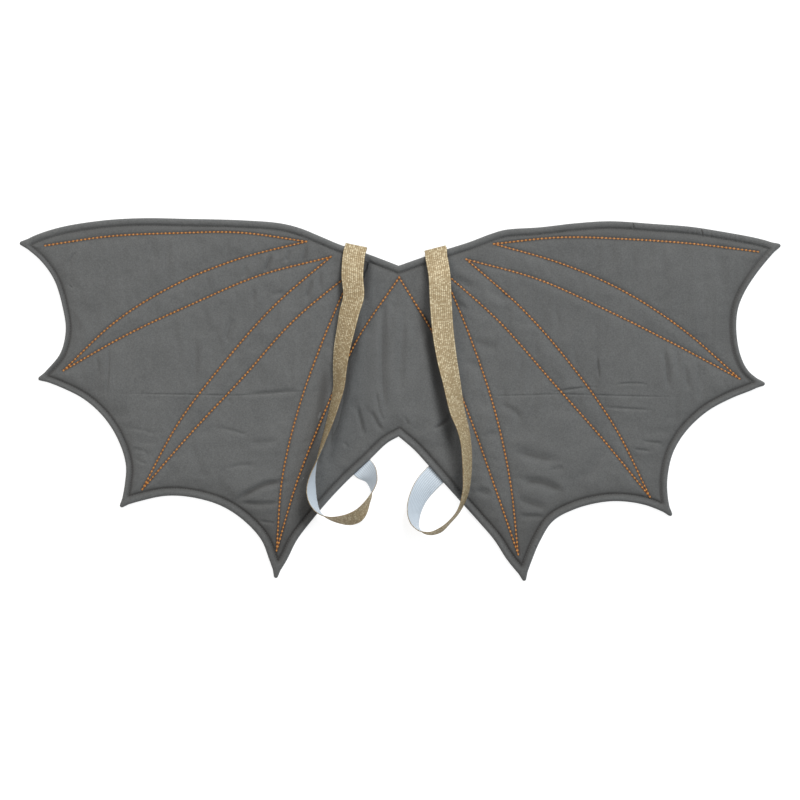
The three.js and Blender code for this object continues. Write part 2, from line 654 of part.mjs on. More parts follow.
// The strap's cross-sections: middle, direction to the inner edge, and direction of the outer face.
function strapSections(strap) {
  const rows = strapRows(strap);
  const samples = [];
  for (let i = 0; i < rows.length - 1; i++) {
    const around = [rows[i - 1] ?? rows[i], rows[i], rows[i + 1], rows[i + 2] ?? rows[i + 1]];
    const between = (key, t) => smoothBetween(...around.map((row) => row[key]), t);
    const length = Math.hypot(rows[i + 1].x - rows[i].x, rows[i + 1].y - rows[i].y);
    const parts = Math.max(1, Math.round(length / STRAP_STEP));
    for (let k = 0; k < parts + (i === rows.length - 2 ? 1 : 0); k++) {
      const t = k / parts;
      const held = rows[i].z !== undefined && rows[i + 1].z !== undefined;
      samples.push({
        x: between("x", t),
        y: between("y", t),
        turn: THREE.MathUtils.lerp(rows[i].turn, rows[i + 1].turn, t),
        tilt: THREE.MathUtils.degToRad(between("tilt", t)),
        lift: between("lift", t) * STRAP_WIDTH,
        z: held ? THREE.MathUtils.lerp(rows[i].z, rows[i + 1].z, t) : k === 0 ? rows[i].z : undefined,
      });
    }
  }
  samples.forEach((s) => {
    s.across = new THREE.Vector3(
      Math.cos(s.turn) * Math.cos(s.tilt),
      Math.sin(s.turn) * Math.cos(s.tilt),
      Math.sin(s.tilt),
    );
    s.pinned = s.z !== undefined;
    s.least = Math.max(
      ...[-1, 0, 1].map((side) => {
        const reach = (side * STRAP_WIDTH) / 2;
        const p = new THREE.Vector2(s.x + s.across.x * reach, s.y + s.across.y * reach);
        const belowMiddle = (STRAP_THICKNESS / 2) * Math.abs(Math.cos(s.tilt)) - s.across.z * reach;
        return restsOn(p) + STRAP_REST_GAP + belowMiddle + s.lift;
      }),
    );
    if (!s.pinned) s.z = s.least;
  });
  // The webbing is stiff: between the places that hold it up it runs straight.
  for (let pass = 0; pass < STRAIGHTENING; pass++) {
    for (let i = 1; i < samples.length - 1; i++) {
      if (!samples[i].pinned) {
        samples[i].z = Math.max(samples[i].least, (samples[i - 1].z + samples[i + 1].z) / 2);
      }
    }
  }
  return samples.map((s, i) => {
    const [before, after] = [samples[i - 1] ?? s, samples[i + 1] ?? s];
    const along = new THREE.Vector3(after.x - before.x, after.y - before.y, after.z - before.z);
    const face = along.cross(s.across).multiplyScalar(strap.inner).normalize();
    return { middle: new THREE.Vector3(s.x, s.y, s.z), across: s.across, face };
  });
}

function strapWebbing(strap) {
  const sections = strapSections(strap);
  const vertices = sections.flatMap(({ middle, across, face }) =>
    [
      [-1, 1],
      [1, 1],
      [1, -1],
      [-1, -1],
    ].map(([aside, up]) =>
      middle
        .clone()
        .addScaledVector(across, (aside * STRAP_WIDTH) / 2)
        .addScaledVector(face, (up * STRAP_THICKNESS) / 2)
        .toArray(),
    ),
  );
  const sides = sections.slice(1).flatMap((_, i) => {
    const start = i * 4;
    return [0, 1, 2, 3].flatMap((corner) => {
      const next = (corner + 1) % 4;
      return [
        [start + corner, start + 4 + corner, start + 4 + next],
        [start + corner, start + 4 + next, start + next],
      ];
    });
  });
  const end = vertices.length - 4;
  const caps = [
    [0, 1, 2],
    [0, 2, 3],
    [end, end + 2, end + 1],
    [end, end + 3, end + 2],
  ];
  const faces = [...sides, ...caps];
  return geometryOf(vertices, strap.inner > 0 ? faces : flip(faces));
}

function named(name, geometry, material) {
  const mesh = new THREE.Mesh(geometry, material);
  mesh.name = name;
  return mesh;
}

const wings = new THREE.Group();
wings.add(named("front_panel", withPockets(frontPanel()), COTTON));
wings.add(named("back_panel", withPockets(backPanel()), COTTON));
STRAPS.forEach((strap) => wings.add(named(strap.name, strapWebbing(strap), ELASTIC)));

export default wings;
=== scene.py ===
"""A child's dragon wings, laid flat: cotton quilted over wadding, with ribs in orange thread, a rolled and
topstitched rim, and two elastic arm loops that are gold outside and pale inside.

Shapes are worked out in millimetres, and METRE turns them into Blender's metres where a mesh is made."""

import math

import bpy
import numpy as np
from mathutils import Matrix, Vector, noise
from mathutils.geometry import delaunay_2d_cdt
from mathutils.bvhtree import BVHTree


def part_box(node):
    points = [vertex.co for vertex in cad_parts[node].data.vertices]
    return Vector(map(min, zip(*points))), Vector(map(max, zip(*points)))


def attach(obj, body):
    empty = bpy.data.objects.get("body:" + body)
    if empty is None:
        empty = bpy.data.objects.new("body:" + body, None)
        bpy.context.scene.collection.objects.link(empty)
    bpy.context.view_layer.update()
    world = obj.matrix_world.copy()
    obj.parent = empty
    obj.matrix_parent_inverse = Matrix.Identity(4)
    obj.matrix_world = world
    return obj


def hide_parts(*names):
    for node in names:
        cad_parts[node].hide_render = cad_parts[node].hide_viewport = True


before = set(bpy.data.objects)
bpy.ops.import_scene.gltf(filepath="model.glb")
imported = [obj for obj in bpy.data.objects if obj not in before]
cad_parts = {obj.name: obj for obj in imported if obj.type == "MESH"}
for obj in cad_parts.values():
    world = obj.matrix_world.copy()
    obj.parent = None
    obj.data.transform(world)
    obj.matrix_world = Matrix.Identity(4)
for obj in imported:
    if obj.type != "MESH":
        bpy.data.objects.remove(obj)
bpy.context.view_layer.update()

METRE = 0.001

# Overall size, from the solid front panel
front_low, front_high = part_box("front_panel")
SPAN = (front_high.x - front_low.x) / METRE
HEIGHT = (front_high.y - front_low.y) / METRE

# Padding and seams, as heights above the surface that the wings lie on
PAD_HEIGHT = 6.5
STITCHED_HEIGHT = 3.9  # along the ribs
STITCHED_REACH = 5  # how far from the topstitching the ribs are at that height
GROOVE_HEIGHT = 2.9  # along the topstitching
RIB_REACH = 4.5  # how far from a rib the wadding has risen by two thirds
GROOVE_REACH = 4.6  # the same beside the topstitching
SEAM_HEIGHT = 2.4
SEAM_GAP = 0.1
RIM_WIDTH = 8
RIM_HEIGHT = 5.9
RIM_CROWN = 0.42  # where the rim is highest, as a share of the way in from its edge
RIM_GROOVE = 1.9  # how far the topstitching's groove reaches into the rim
BACK_ROUND = 4.5
BACK_GROOVE = 1.3  # how far stitches pull the back up
BACK_GROOVE_REACH = 2.2
LOOSE_REACH = 1.5  # how far from a seam the cloth is free to fold
LEAST_LOFT = 0.4  # how far above its edge seam the front cloth stays
SOFT_LIMIT = 0.5  # how gently it comes to rest on that height
TIP_RADIUS = 2.4
TIP_CUT = 10  # how far from a tip the outline bends towards its rounded end

# Waves and lumps of the padded cloth: height, size and seed of each kind
LUMPS = ((0.35, 38, 1), (0.16, 13, 2))
UPRIGHT_WAVES = ((0.8, 12, 6), (0.5, 6, 8))
LEVEL_WAVES = ((0.5, 10, 7), (0.25, 5, 9))
LONG_WAVE = 0.2  # how fast a long wave changes along its length, against across it
LOW_PART = (-0.05, 0.15)  # how far down, as shares of the height, upright waves give way to level ones
GIVEN_WAY = 0.7  # how much of the waves that do

# Puckers that run out from a seam: height, size, reach and seed
SEAM_PUCKERS = (0.6, 7, 6, 3)
RIB_PUCKERS = (0.3, 8, 5, 4)
RIM_PUCKERS = (0.3, 4.5, 9, 5)
TOP_RIM_PUCKERS = 0.5  # how much higher they are in the top rim
TOP_RIM = (0.34, 0.42)  # how far up, as shares of the height, the top rim begins
GATHER_HEIGHT = 0.5  # of the little gathers where the right top rim is drawn up
GATHER_PITCH = 5.4
GATHERED_PART = (0.68, 0.8)  # how far right, as shares of half the span, they begin

# Painted shade and other darkening of the cloth: how dark it is, where 1 is as dark as a seam, and how far it
# reaches
# Painted shade in the groove of the topstitching and its needle holes
RIM_SEAM_SHADE_REACH = 2.4
OUTER_SIDE_SHADE = 0.6  # how dark the painted shade on the seam's outer side is
# Painted shade on the cloth where it rises from the rim's groove
BESIDE_RIM_SHADE, BESIDE_RIM_REACH = 0.33, 9
# Painted shade of the grooves and needle holes along the ribs
RIB_SHADE, RIB_SHADE_REACH = 0.9, 1.7
# The cloth is darker towards the tails, more so on the left
TAIL_DARKENING, LEFT_TAIL_DARKENING = 0.36, 0.2
TAIL_PART = (0.2, 0.42)  # how far down, as shares of the height, the tails begin
TOP_LESS_SHADE = 0.45  # how much less painted shade the top seam has, as it faces the light
TOP_PART = (0.3, 0.4)
# The cloth is a little darker towards the right
RIGHT_DARKENING = 0.1
# Painted shade down in deep dents, such as the shadow beside the left loop
DENT_PAINTED_SHADE = 0.9
DEEP_DENT = (1.4, 3.2)  # how deep a dent is where its painted shade begins, and where it is darkest

# The cloth simulation of the front
SETTLE_STEP = 4.6  # between the points of the sheet that is simulated
SETTLE_FRAMES = 20
SETTLE_PRESSURE = 4
SETTLE_GROWTH = 0.012  # how much too large the cloth is for its seams
SETTLE_HOLD = 0.02  # how firmly the wadding holds the cloth, against 1 at a seam
SETTLE_CAP = 1.1  # the most that a point rises or sinks

# Elastic arm loops
STRAP_WIDTH = 25
STRAP_THICKNESS = 1.2
STRAP_TUCK = 14
STRAP_OVERHANG = 5.5
STRAP_REST_GAP = 0.6
STRAP_STEP = 5.5
STRAP_FINE_STEP = 1.5
STRAP_CORDS = 11  # rubber cores side by side across the webbing, each under a column of knitting
CORD_RELIEF = 0.15
LOOP_LENGTH = 1.4  # of one knitted loop, along the webbing
TUCK_BULGE = 1.1
TUCK_ROOM = 0.85  # how far a tucked end pushes each cloth aside
TUCK_FADE = 8  # how far from a tucked end the cloths are together again
SEAM_LEAD = 3  # how far outside the seam a loop's lower end lies flat

# Colours
COTTON_DARK = (0.061, 0.062, 0.061)
COTTON_LIGHT = (0.102, 0.103, 0.101)
COTTON_SHADED = (0.02, 0.018, 0.016)
ORANGE = (0.73, 0.355, 0.06)
# Painted shade where the thread dives into its needle holes
ORANGE_END_SHADE = (0.24, 0.085, 0.013)
ORANGE_HOLE_SHADE = (0.02, 0.006, 0.003)
ORANGE_STRAND_SHADE = (0.3, 0.1, 0.02)  # painted shade between the thread's strands
GREY_THREAD = (0.055, 0.055, 0.054)
# Painted shade at the ends of a grey stitch
GREY_THREAD_END_SHADE = (0.015, 0.015, 0.014)
# The gold of a loop, picked at random; its bright end is painted glints
GOLD_DULL = (0.29, 0.22, 0.12)
GOLD = (0.37, 0.295, 0.175)
GOLD_GLINT = (0.56, 0.48, 0.32)
# Painted shade in the gaps between the loops
GOLD_GAP_SHADE = (0.13, 0.085, 0.04)
INSIDE_DARK = (0.33, 0.37, 0.41)
INSIDE_PALE = (0.46, 0.51, 0.56)
FLOOR_GREY = (0.3, 0.3, 0.3)

# How many waves or lumps of each pattern there are in a metre of cotton
CLOUD_SCALE = 34
YARN_SCALE = 620
WEAVE_SCALE = 430.0

# Thread
RIB_PITCH = 4.5
RIB_STITCH = (3.65, 2.1, 1.5)  # length, width and height of one stitch
RIM_PITCH = 2.9
RIM_STITCH = (2.3, 0.75, 0.6)
STITCH_LEAST = (0.93, 0.9, 0.9)  # how much smaller than that a stitch may be
STITCH_MOST = (1.05, 1.08, 1.08)
CORE_SIZE = 0.28  # the thread's radius in the needle holes, as a share of a stitch's width

# Light: the side that most of it comes from, seen from above, and each lamp's place in metres, size, power and tint
TO_LIGHT = np.array([0.45, 0.89])
LAMPS = {
    "softbox_neck": ((3.1 * TO_LIGHT[0], 3.1 * TO_LIGHT[1], 3.2), 1.5, 210, (1, 1, 1)),
    "softbox_left": ((-2.1, 0.2, 2.1), 1.7, 32, (1, 0.96, 0.9)),
    "softbox_right": ((2.1, 0.0, 2.1), 1.7, 20, (0.8, 0.93, 1)),
}
SKY = (0.93, 0.96, 1.0)
SKY_STRENGTH = 0.34
FLOOR_REACH = 6  # in metres, from the middle
LENS = 120

# The photograph's frame: its side in pixels, how much a pixel covers, and the place that its middle shows
PHOTO_SIDE = 800
PIXEL = 1.125
PHOTO_CENTRE = (-0.13, -0.56)

# The outline, anticlockwise seen from above, as stretches between corners. Each runs through its points to the
# first point of the next. A point is (share of half the span, share of the height), rim is the topstitched rim's
# width as a share of RIM_WIDTH, and pointed says that the stretch begins at a tip and not at a notch.
STRETCHES = {
    "left top": dict(pointed=False, rim=1.04, points=[
        (-0.004, 0.369), (-0.079, 0.399), (-0.158, 0.427), (-0.21, 0.45), (-0.263, 0.4725), (-0.315, 0.486),
        (-0.42, 0.4945), (-0.552, 0.498), (-0.683, 0.5), (-0.788, 0.493), (-0.893, 0.475), (-0.959, 0.453),
    ]),
    "left outer scallop": dict(pointed=True, rim=0.66, points=[
        (-1, 0.431), (-0.946, 0.384), (-0.909, 0.329), (-0.886, 0.249), (-0.879, 0.191), (-0.893, 0.128),
        (-0.93, 0.08),
    ]),
    "left middle scallop": dict(pointed=True, rim=0.82, points=[
        (-0.951, 0.0565), (-0.893, 0.034), (-0.83, 0), (-0.778, -0.05), (-0.741, -0.112), (-0.721, -0.18),
        (-0.724, -0.235),
    ]),
    "left inner scallop": dict(pointed=True, rim=1.08, points=[
        (-0.735, -0.296), (-0.683, -0.28), (-0.618, -0.266), (-0.552, -0.269), (-0.473, -0.292),
        (-0.413, -0.332), (-0.365, -0.387), (-0.344, -0.442),
    ]),
    "left tail": dict(pointed=True, rim=0.98, points=[
        (-0.327, -0.492), (-0.297, -0.441), (-0.271, -0.387), (-0.231, -0.332), (-0.187, -0.277),
        (-0.137, -0.222), (-0.081, -0.167), (-0.034, -0.12),
    ]),
    "right tail": dict(pointed=False, rim=1.02, points=[
        (-0.004, -0.102), (0.037, -0.139), (0.066, -0.172), (0.108, -0.222), (0.155, -0.277), (0.202, -0.332),
        (0.247, -0.387), (0.281, -0.442),
    ]),
    "right inner scallop": dict(pointed=True, rim=1.04, points=[
        (0.327, -0.5), (0.344, -0.45), (0.368, -0.39), (0.402, -0.335), (0.46, -0.302), (0.526, -0.284),
        (0.578, -0.2805), (0.644, -0.291),
    ]),
    "right middle scallop": dict(pointed=True, rim=0.92, points=[
        (0.7135, -0.32), (0.704, -0.269), (0.703, -0.216), (0.7175, -0.147), (0.752, -0.087), (0.807, -0.033),
        (0.87, 0.003), (0.925, 0.026),
    ]),
    "right outer scallop": dict(pointed=True, rim=0.8, points=[
        (0.959, 0.043), (0.915, 0.08), (0.894, 0.125), (0.884, 0.191), (0.888, 0.249), (0.904, 0.293),
        (0.93, 0.3375), (0.9645, 0.384),
    ]),
    "right top": dict(pointed=True, rim=1.04, points=[
        (1, 0.4256), (0.946, 0.443), (0.841, 0.464), (0.762, 0.4766), (0.67, 0.484), (0.552, 0.4917),
        (0.46, 0.486), (0.368, 0.475), (0.276, 0.468), (0.2365, 0.456), (0.184, 0.435), (0.1235, 0.4146),
        (0.053, 0.39),
    ]),
}

# The rib stitching: one zigzag from wing tip to wing tip. Each row is a turning point, as shares of half the span
# and of the height, and how far the line to the next one bows to its left at a quarter, half and three quarters
# of its way, as shares of its length.
RIB_TURNS = [
    ("left leading edge", -0.932, 0.424, (0.032, 0.04, 0.038)),
    ("left wrist", -0.247, 0.435, (-0.06, -0.085, -0.068)),
    ("left first finger", -0.884, 0.08, (0.028, 0.037, 0.037)),
    ("left elbow", -0.183, 0.3925, (-0.044, -0.054, -0.046)),
    ("left second finger", -0.677, -0.247, (0.013, 0.017, 0.027)),
    ("left shoulder", -0.126, 0.352, (-0.035, -0.055, -0.047)),
    ("left third finger", -0.3245, -0.416, (0.033, 0.043, 0.043)),
    ("nape", -0.0025, 0.336, (0.034, 0.033, 0.018)),
    ("right third finger", 0.31, -0.4265, (-0.038, -0.049, -0.033)),
    ("right shoulder", 0.112, 0.354, (0.024, 0.019, 0.014)),
    ("right second finger", 0.656, -0.268, (-0.049, -0.061, -0.047)),
    ("right elbow", 0.174, 0.386, (0.035, 0.032, 0.019)),
    ("right first finger", 0.891, 0.0575, (-0.055, -0.075, -0.055)),
    ("right wrist", 0.2465, 0.4285, (0.032, 0.033, 0.023)),
    ("right leading edge", 0.94, 0.407, None),
]

# Folds and dents of the front by region, as they show in the photograph: how wide in millimetres, how high as a
# share of FOLD_HEIGHT, a negative height being a dent, and the pixels that the fold's shaded side runs through,
# counted from the photograph's top left corner.
FOLD_HEIGHT = 2.8
FOLD_MOST = 3.3  # the most that folds raise or lower the cloth
SHADED_SIDE = 0.6  # from a dent's middle to its shaded side, as a share of its width
FOLD_FADE = 0.3  # how much of a fold's length each of its ends takes to fade
BESIDE_DENT = (0.35, 2.4)  # how high the cloth rises beside a dent, and how wide, as shares of the dent
LEAST_ATHWART = 0.5  # the least that a fold is taken to run across the light
FOLDS = {
    "inside the left loop, above": [(4.5, -1.3, [(368, 248), (367, 265), (364, 285), (363, 306)])],
    "inside the left loop, below": [
        (5, -1.6, [(362, 296), (357, 325), (350, 358), (344, 393), (336, 425), (326, 470)]),
    ],
    "left crease": [(1.2, -0.35, [(109, 393), (190, 394.3), (245, 394.8), (301, 391), (331, 392)])],
    "left crease, by the loop": [(2.6, -0.8, [(243, 394), (270, 391.5), (301, 389.5)])],
    "left cross crease": [(1.8, -0.4, [(110, 345), (109, 370), (107, 397)])],
    "beside the left cross crease": [(2.5, -0.25, [(98, 352), (99, 376)])],
    "right crease": [(1.2, -0.35, [(460, 396), (520, 395), (560, 394), (640, 396), (697, 397)])],
    "right crease, inner branch": [(1.5, -0.45, [(547, 393), (576, 388), (602, 386)])],
    "right crease, outer branch": [(1.5, -0.5, [(612, 385), (625, 383), (640, 383), (651, 384.5)])],
    "under the right crease": [(1.8, -0.6, [(602, 406), (625, 408), (655, 409.5)])],
    "left wing tip": [(2, -0.35, [(68, 269), (72, 258), (79, 250)])],
    "left wing tip, by the rim": [(1.2, -0.4, [(69, 284), (73, 288)])],
    "under the left first finger": [(4, -0.4, [(198, 335), (196, 366), (194, 388)])],
    "left shoulder": [
        (2.8, -0.8, [(273, 251), (269, 262), (264.5, 273)]),
        (2.6, -0.6, [(291, 248), (286, 262)]),
        (2.8, -0.7, [(307.5, 243), (303, 268)]),
        (2.8, -0.7, [(313, 276), (310, 286), (306.5, 299)]),
        (3, -0.6, [(322, 269), (319, 287)]),
        (3, -0.5, [(248, 264), (244, 278)]),
        (3, -0.5, [(256, 288), (252.5, 302)]),
        (4, -0.7, [(234, 315), (230, 330), (226, 343)]),
        (2.8, -0.5, [(292, 296), (280, 292), (270, 296)]),
    ],
    "left middle scallop": [
        (2, -0.35, [(131, 427), (146, 430), (158, 435)]),
        (2, -0.3, [(132, 446), (150, 453)]),
        (2, -0.35, [(133, 456), (149, 465)]),
    ],
    "left third finger": [
        (2, -0.45, [(219, 427), (234, 430), (249, 435)]),
        (4, -0.8, [(245, 439), (262, 441), (283, 438)]),
        (3, -0.7, [(226.5, 467), (242, 464), (257, 464)]),
        (3.5, -1.4, [(234, 501), (250, 491), (267, 483), (293, 480)]),
        (3, -1.2, [(236, 501), (255, 502.5), (276, 502), (285, 499)]),
        (1.8, -0.6, [(259, 520), (277, 523)]),
    ],
    "under the left loop": [(11, -1, [(331, 330), (325, 400), (312, 460), (290, 520)])],
    "left of the middle": [(4, -0.8, [(383, 290), (384, 330), (384, 370), (386, 400), (389, 424)])],
    "middle": [(4.5, -0.6, [(405, 300), (403, 340), (401, 375), (400, 400)])],
    "nape": [(3, -0.3, [(394, 300), (391, 330)])],
    "tail notch": [
        (2.6, -0.9, [(357, 403), (361, 420), (365, 437)]),
        (2.6, -0.9, [(371, 408), (376, 420), (384, 432)]),
        (2, -0.4, [(376, 388), (380, 410), (386, 424)]),
        (2, -0.4, [(344, 440), (349, 448)]),
        (2, -0.4, [(404, 414), (409, 425)]),
    ],
    "along the right loop": [(11, -1.2, [(415, 262), (425, 310), (440, 370), (452, 430), (458, 478)])],
    "across the right loop": [(2, -0.6, [(434, 429), (442, 423), (451, 416)])],
    "right shoulder": [
        (5, -1.2, [(453, 275), (464, 280), (477, 288)]),
        (6, -1.2, [(488, 284), (500, 292), (512, 299)]),
        (4, -0.8, [(455, 301), (469, 309)]),
        (6, -1, [(474, 336), (486, 343), (499, 347)]),
        (5, -0.7, [(465, 358), (483, 367)]),
    ],
    "right second finger": [(4, -0.8, [(500, 402), (515, 410), (523, 421)])],
    "right third finger": [
        (4, -0.7, [(488, 430), (499, 434)]),
        (6, -1.5, [(513, 446), (535, 453), (565, 459)]),
        (3, -0.7, [(549, 468), (565, 466.5)]),
        (5, -1.8, [(519, 479), (541, 480), (553, 484), (566, 492)]),
        (5, -1.5, [(516, 495), (532, 501), (550, 507)]),
        (4.5, -1.3, [(476, 487), (494, 493)]),
        (3, -1, [(519, 515), (547, 515)]),
    ],
    "right middle scallop": [
        (1.8, -0.5, [(640, 440), (664, 443)]),
        (1.8, -0.5, [(632, 448), (652, 451)]),
    ],
    "right upright": [
        (3, -0.8, [(663, 343), (667, 365), (669, 392)]),
        (3, -0.7, [(684, 360), (689, 390)]),
        (3, -0.5, [(676, 345), (681, 380)]),
        (2, -0.3, [(696, 352), (700, 385)]),
        (1.5, -0.5, [(597, 355), (599, 379)]),
        (3, -0.3, [(555, 305), (560, 328)]),
        (3, -0.3, [(574, 345), (577, 372)]),
        (3, -0.3, [(545, 250), (552, 275)]),
    ],
    "right rim notch": [
        (0.9, -0.7, [(632.5, 221), (634, 231)]),
        (0.9, -0.8, [(701, 228), (703, 238)]),
    ],
    "right tail notch": [(0.9, -0.7, [(533, 545), (541, 550)])],
}

# The arm loops. at is the share of a stretch's length where an end is caught in its seam. A row is the middle of
# the webbing: shares of half the span and of the height, how far its inner edge is tilted up in degrees, and how
# far it is lifted off what lies below, as a share of STRAP_WIDTH.
STRAPS = {
    "strap_left": dict(inner=1, top=("left top", 0.1175), bottom=("left tail", 0.747), rows=[
        (-0.1215, 0.395, 2, 0.02), (-0.125, 0.34, 12, 0.3), (-0.1215, 0.285, 18, 0.34),
        (-0.133, 0.237, 26, 0.24), (-0.143, 0.186, 35, 0.1), (-0.152, 0.139, 42, 0),
        (-0.1575, 0.085, 51, 0), (-0.1605, 0.034, 59, 0), (-0.171, -0.014, 66, 0),
        (-0.1835, -0.06, 72, 0), (-0.201, -0.115, 80, 0), (-0.219, -0.171, 90, 0),
        (-0.23, -0.214, 104, 0), (-0.2325, -0.252, 113, 0), (-0.225, -0.287, 107, 0),
        (-0.2085, -0.313, 92, 0), (-0.182, -0.3265, 80, 0), (-0.153, -0.33, 66, 0),
        (-0.131, -0.3285, 56, 0), (-0.1115, -0.32, 54, 0), (-0.0975, -0.304, 63, 0),
        (-0.0865, -0.2835, 76, 0), (-0.0765, -0.262, 86, 0), (-0.0735, -0.2415, 104, 0),
        (-0.0745, -0.2245, 121, 0), (-0.08, -0.21, 140, 0),
    ]),
    "strap_right": dict(inner=-1, top=("right top", 0.8975), bottom=("right tail", 0.276), rows=[
        (0.0945, 0.395, 2, 0.02), (0.103, 0.34, 8, 0.3), (0.106, 0.274, 9, 0.36),
        (0.1115, 0.192, 15, 0.26), (0.122, 0.114, 25, 0.1), (0.134, 0.051, 36, 0),
        (0.149, -0.03, 47, 0), (0.163, -0.075, 56, 0), (0.1715, -0.115, 61, 0),
        (0.175, -0.161, 63, 0), (0.175, -0.208, 67, 0), (0.171, -0.255, 73, 0),
        (0.154, -0.304, 80, 0), (0.1285, -0.337, 81, 0), (0.1045, -0.359, 76, 0),
        (0.079, -0.368, 80, 0), (0.059, -0.364, 86, 0), (0.0475, -0.355, 96, 0),
        (0.0395, -0.339, 112, 0), (0.0365, -0.316, 126, 0), (0.0385, -0.297, 135, 0),
        (0.0455, -0.274, 144, 0), (0.0565, -0.252, 155, 0), (0.0715, -0.2305, 171, 0),
    ]),
}


# Lines in the plane

def on_panel(place):
    return np.array([place[0] * SPAN / 2, place[1] * HEIGHT])


def in_photo(pixel):
    """The place on the wings that a pixel of the photograph shows."""
    right, down = (side - PHOTO_SIDE / 2 for side in pixel)
    return np.array(PHOTO_CENTRE) + PIXEL * np.array([right, -down])


def length_along(line):
    steps = np.linalg.norm(np.diff(line, axis=0), axis=1)
    return np.concatenate([[0], np.cumsum(steps)])


def smooth_line(points, parts=8):
    """A fine line through the points, along a centripetal Catmull-Rom curve."""
    points = np.asarray(points, float)
    run = np.vstack([2 * points[0] - points[1], points, 2 * points[-1] - points[-2]])
    t = np.linspace(0, 1, parts, endpoint=False)[:, None]
    line = []
    for p0, p1, p2, p3 in zip(run, run[1:], run[2:], run[3:]):
        k0, k1, k2 = (np.linalg.norm(b - a) ** 0.5 for a, b in ((p0, p1), (p1, p2), (p2, p3)))
        leave = k1 * ((p1 - p0) / k0 - (p2 - p0) / (k0 + k1) + (p2 - p1) / k1)
        arrive = k1 * ((p2 - p1) / k1 - (p3 - p1) / (k1 + k2) + (p3 - p2) / k2)
        bend = 3 * (p2 - p1) - 2 * leave - arrive
        line.append(p1 + leave * t + bend * t**2 + (2 * (p1 - p2) + leave + arrive) * t**3)
    return np.vstack([*line, points[-1:]])


def evenly(line, step):
    """The line's points again, evenly spaced and about a step apart."""
    reach = length_along(line)
    at = np.linspace(0, reach[-1], max(2, round(reach[-1] / step) + 1))
    return np.column_stack([np.interp(at, reach, column) for column in line.T])


def left_of(line):
    along = np.gradient(line, axis=0)
    return np.column_stack([-along[:, 1], along[:, 0]]) / np.linalg.norm(along, axis=1)[:, None]


def moved_in(line, distance):
    """The line moved to its left, with its ends run on straight."""
    moved = line + distance * left_of(line)
    first = moved[0] - moved[1]
    last = moved[-1] - moved[-2]
    run_on = 4 * distance
    return np.vstack([
        moved[0] + run_on * first / np.linalg.norm(first),
        moved,
        moved[-1] + run_on * last / np.linalg.norm(last),
    ])


def cross(a, b):
    return a[..., 0] * b[..., 1] - a[..., 1] * b[..., 0]


def crossing(a, b):
    """Where line a last crosses line b: the point, and how far along a and along b, in steps."""
    r = np.diff(a, axis=0)[:, None]
    s = np.diff(b, axis=0)[None]
    apart = b[None, :-1] - a[:-1, None]
    turn = cross(r, s)
    on_a = cross(apart, s) / turn
    on_b = cross(apart, r) / turn
    found = np.argwhere((on_a >= 0) & (on_a <= 1) & (on_b >= 0) & (on_b <= 1))
    i, k = found[-1]
    return a[i] + on_a[i, k] * r[i, 0], i, k


def to_line(points, line):
    """How far each point is from the line, and how far along it the nearest place is."""
    start = line[:-1]
    along = np.diff(line, axis=0)
    length2 = (along**2).sum(1)
    reach = length_along(line)[:-1]
    distances, places = [], []
    for some in np.array_split(points, len(points) // 1000 + 1):
        x = some[:, None, 0] - start[:, 0]
        y = some[:, None, 1] - start[:, 1]
        t = np.clip((x * along[:, 0] + y * along[:, 1]) / length2, 0, 1)
        away = (x - t * along[:, 0]) ** 2 + (y - t * along[:, 1]) ** 2
        nearest = away.argmin(1)
        rows = np.arange(len(some))
        distances.append(np.sqrt(away[rows, nearest]))
        places.append(reach[nearest] + t[rows, nearest] * np.sqrt(length2[nearest]))
    return np.concatenate(distances), np.concatenate(places)


def is_inside(points, ring):
    """Whether each point is inside the closed line."""
    inside = np.zeros(len(points), bool)
    for (ax, ay), (bx, by) in zip(ring, np.roll(ring, -1, axis=0)):
        if ay != by:
            spans = (ay > points[:, 1]) != (by > points[:, 1])
            inside ^= spans & (points[:, 0] < ax + (bx - ax) * (points[:, 1] - ay) / (by - ay))
    return inside


def close(ring):
    return np.vstack([ring, ring[:1]])


# Outline, topstitching and ribs

names = list(STRETCHES)
stretches = {}
for index, name in enumerate(names):
    following = STRETCHES[names[(index + 1) % len(names)]]["points"][0]
    corners = [on_panel(place) for place in [*STRETCHES[name]["points"], following]]
    stretches[name] = smooth_line(corners)


def rounded_tip(corner, before, after):
    """The outline round a tip: an arc that reaches as far as the tip itself, met by straight sides."""
    inward = sum((side - corner) / np.linalg.norm(side - corner) for side in (before, after))
    centre = corner + TIP_RADIUS * inward / np.linalg.norm(inward)
    angles = []
    for side, turn in ((before, 1), (after, -1)):
        away = side - centre
        reach = math.acos(TIP_RADIUS / np.linalg.norm(away))
        angles.append(math.atan2(away[1], away[0]) + turn * reach)
    first, last = angles
    if last < first:
        last += 2 * math.pi
    angle = np.linspace(first, last, 9)
    return centre + TIP_RADIUS * np.column_stack([np.cos(angle), np.sin(angle)])


def make_outline(step):
    """The closed outline, with its tips rounded."""
    pieces = []
    cut = {}
    for index, name in enumerate(names):
        line = evenly(stretches[name], 0.5)
        from_start = np.linalg.norm(line - line[0], axis=1)
        from_end = np.linalg.norm(line - line[-1], axis=1)
        starts = TIP_CUT if STRETCHES[name]["pointed"] else 0
        ends = TIP_CUT if STRETCHES[names[(index + 1) % len(names)]]["pointed"] else 0
        cut[name] = line[(from_start >= starts) & (from_end >= ends)]
    for index, name in enumerate(names):
        if STRETCHES[name]["pointed"]:
            tip = rounded_tip(stretches[name][0], cut[names[index - 1]][-1], cut[name][0])
            pieces += [evenly(np.vstack([cut[names[index - 1]][-1], tip[0]]), step)[1:-1]]
            pieces += [tip]
            pieces += [evenly(np.vstack([tip[-1], cut[name][0]]), step)[1:-1]]
        to_a_tip = STRETCHES[names[(index + 1) % len(names)]]["pointed"]
        pieces += [evenly(cut[name], step)[: None if to_a_tip else -1]]
    return np.vstack(pieces)


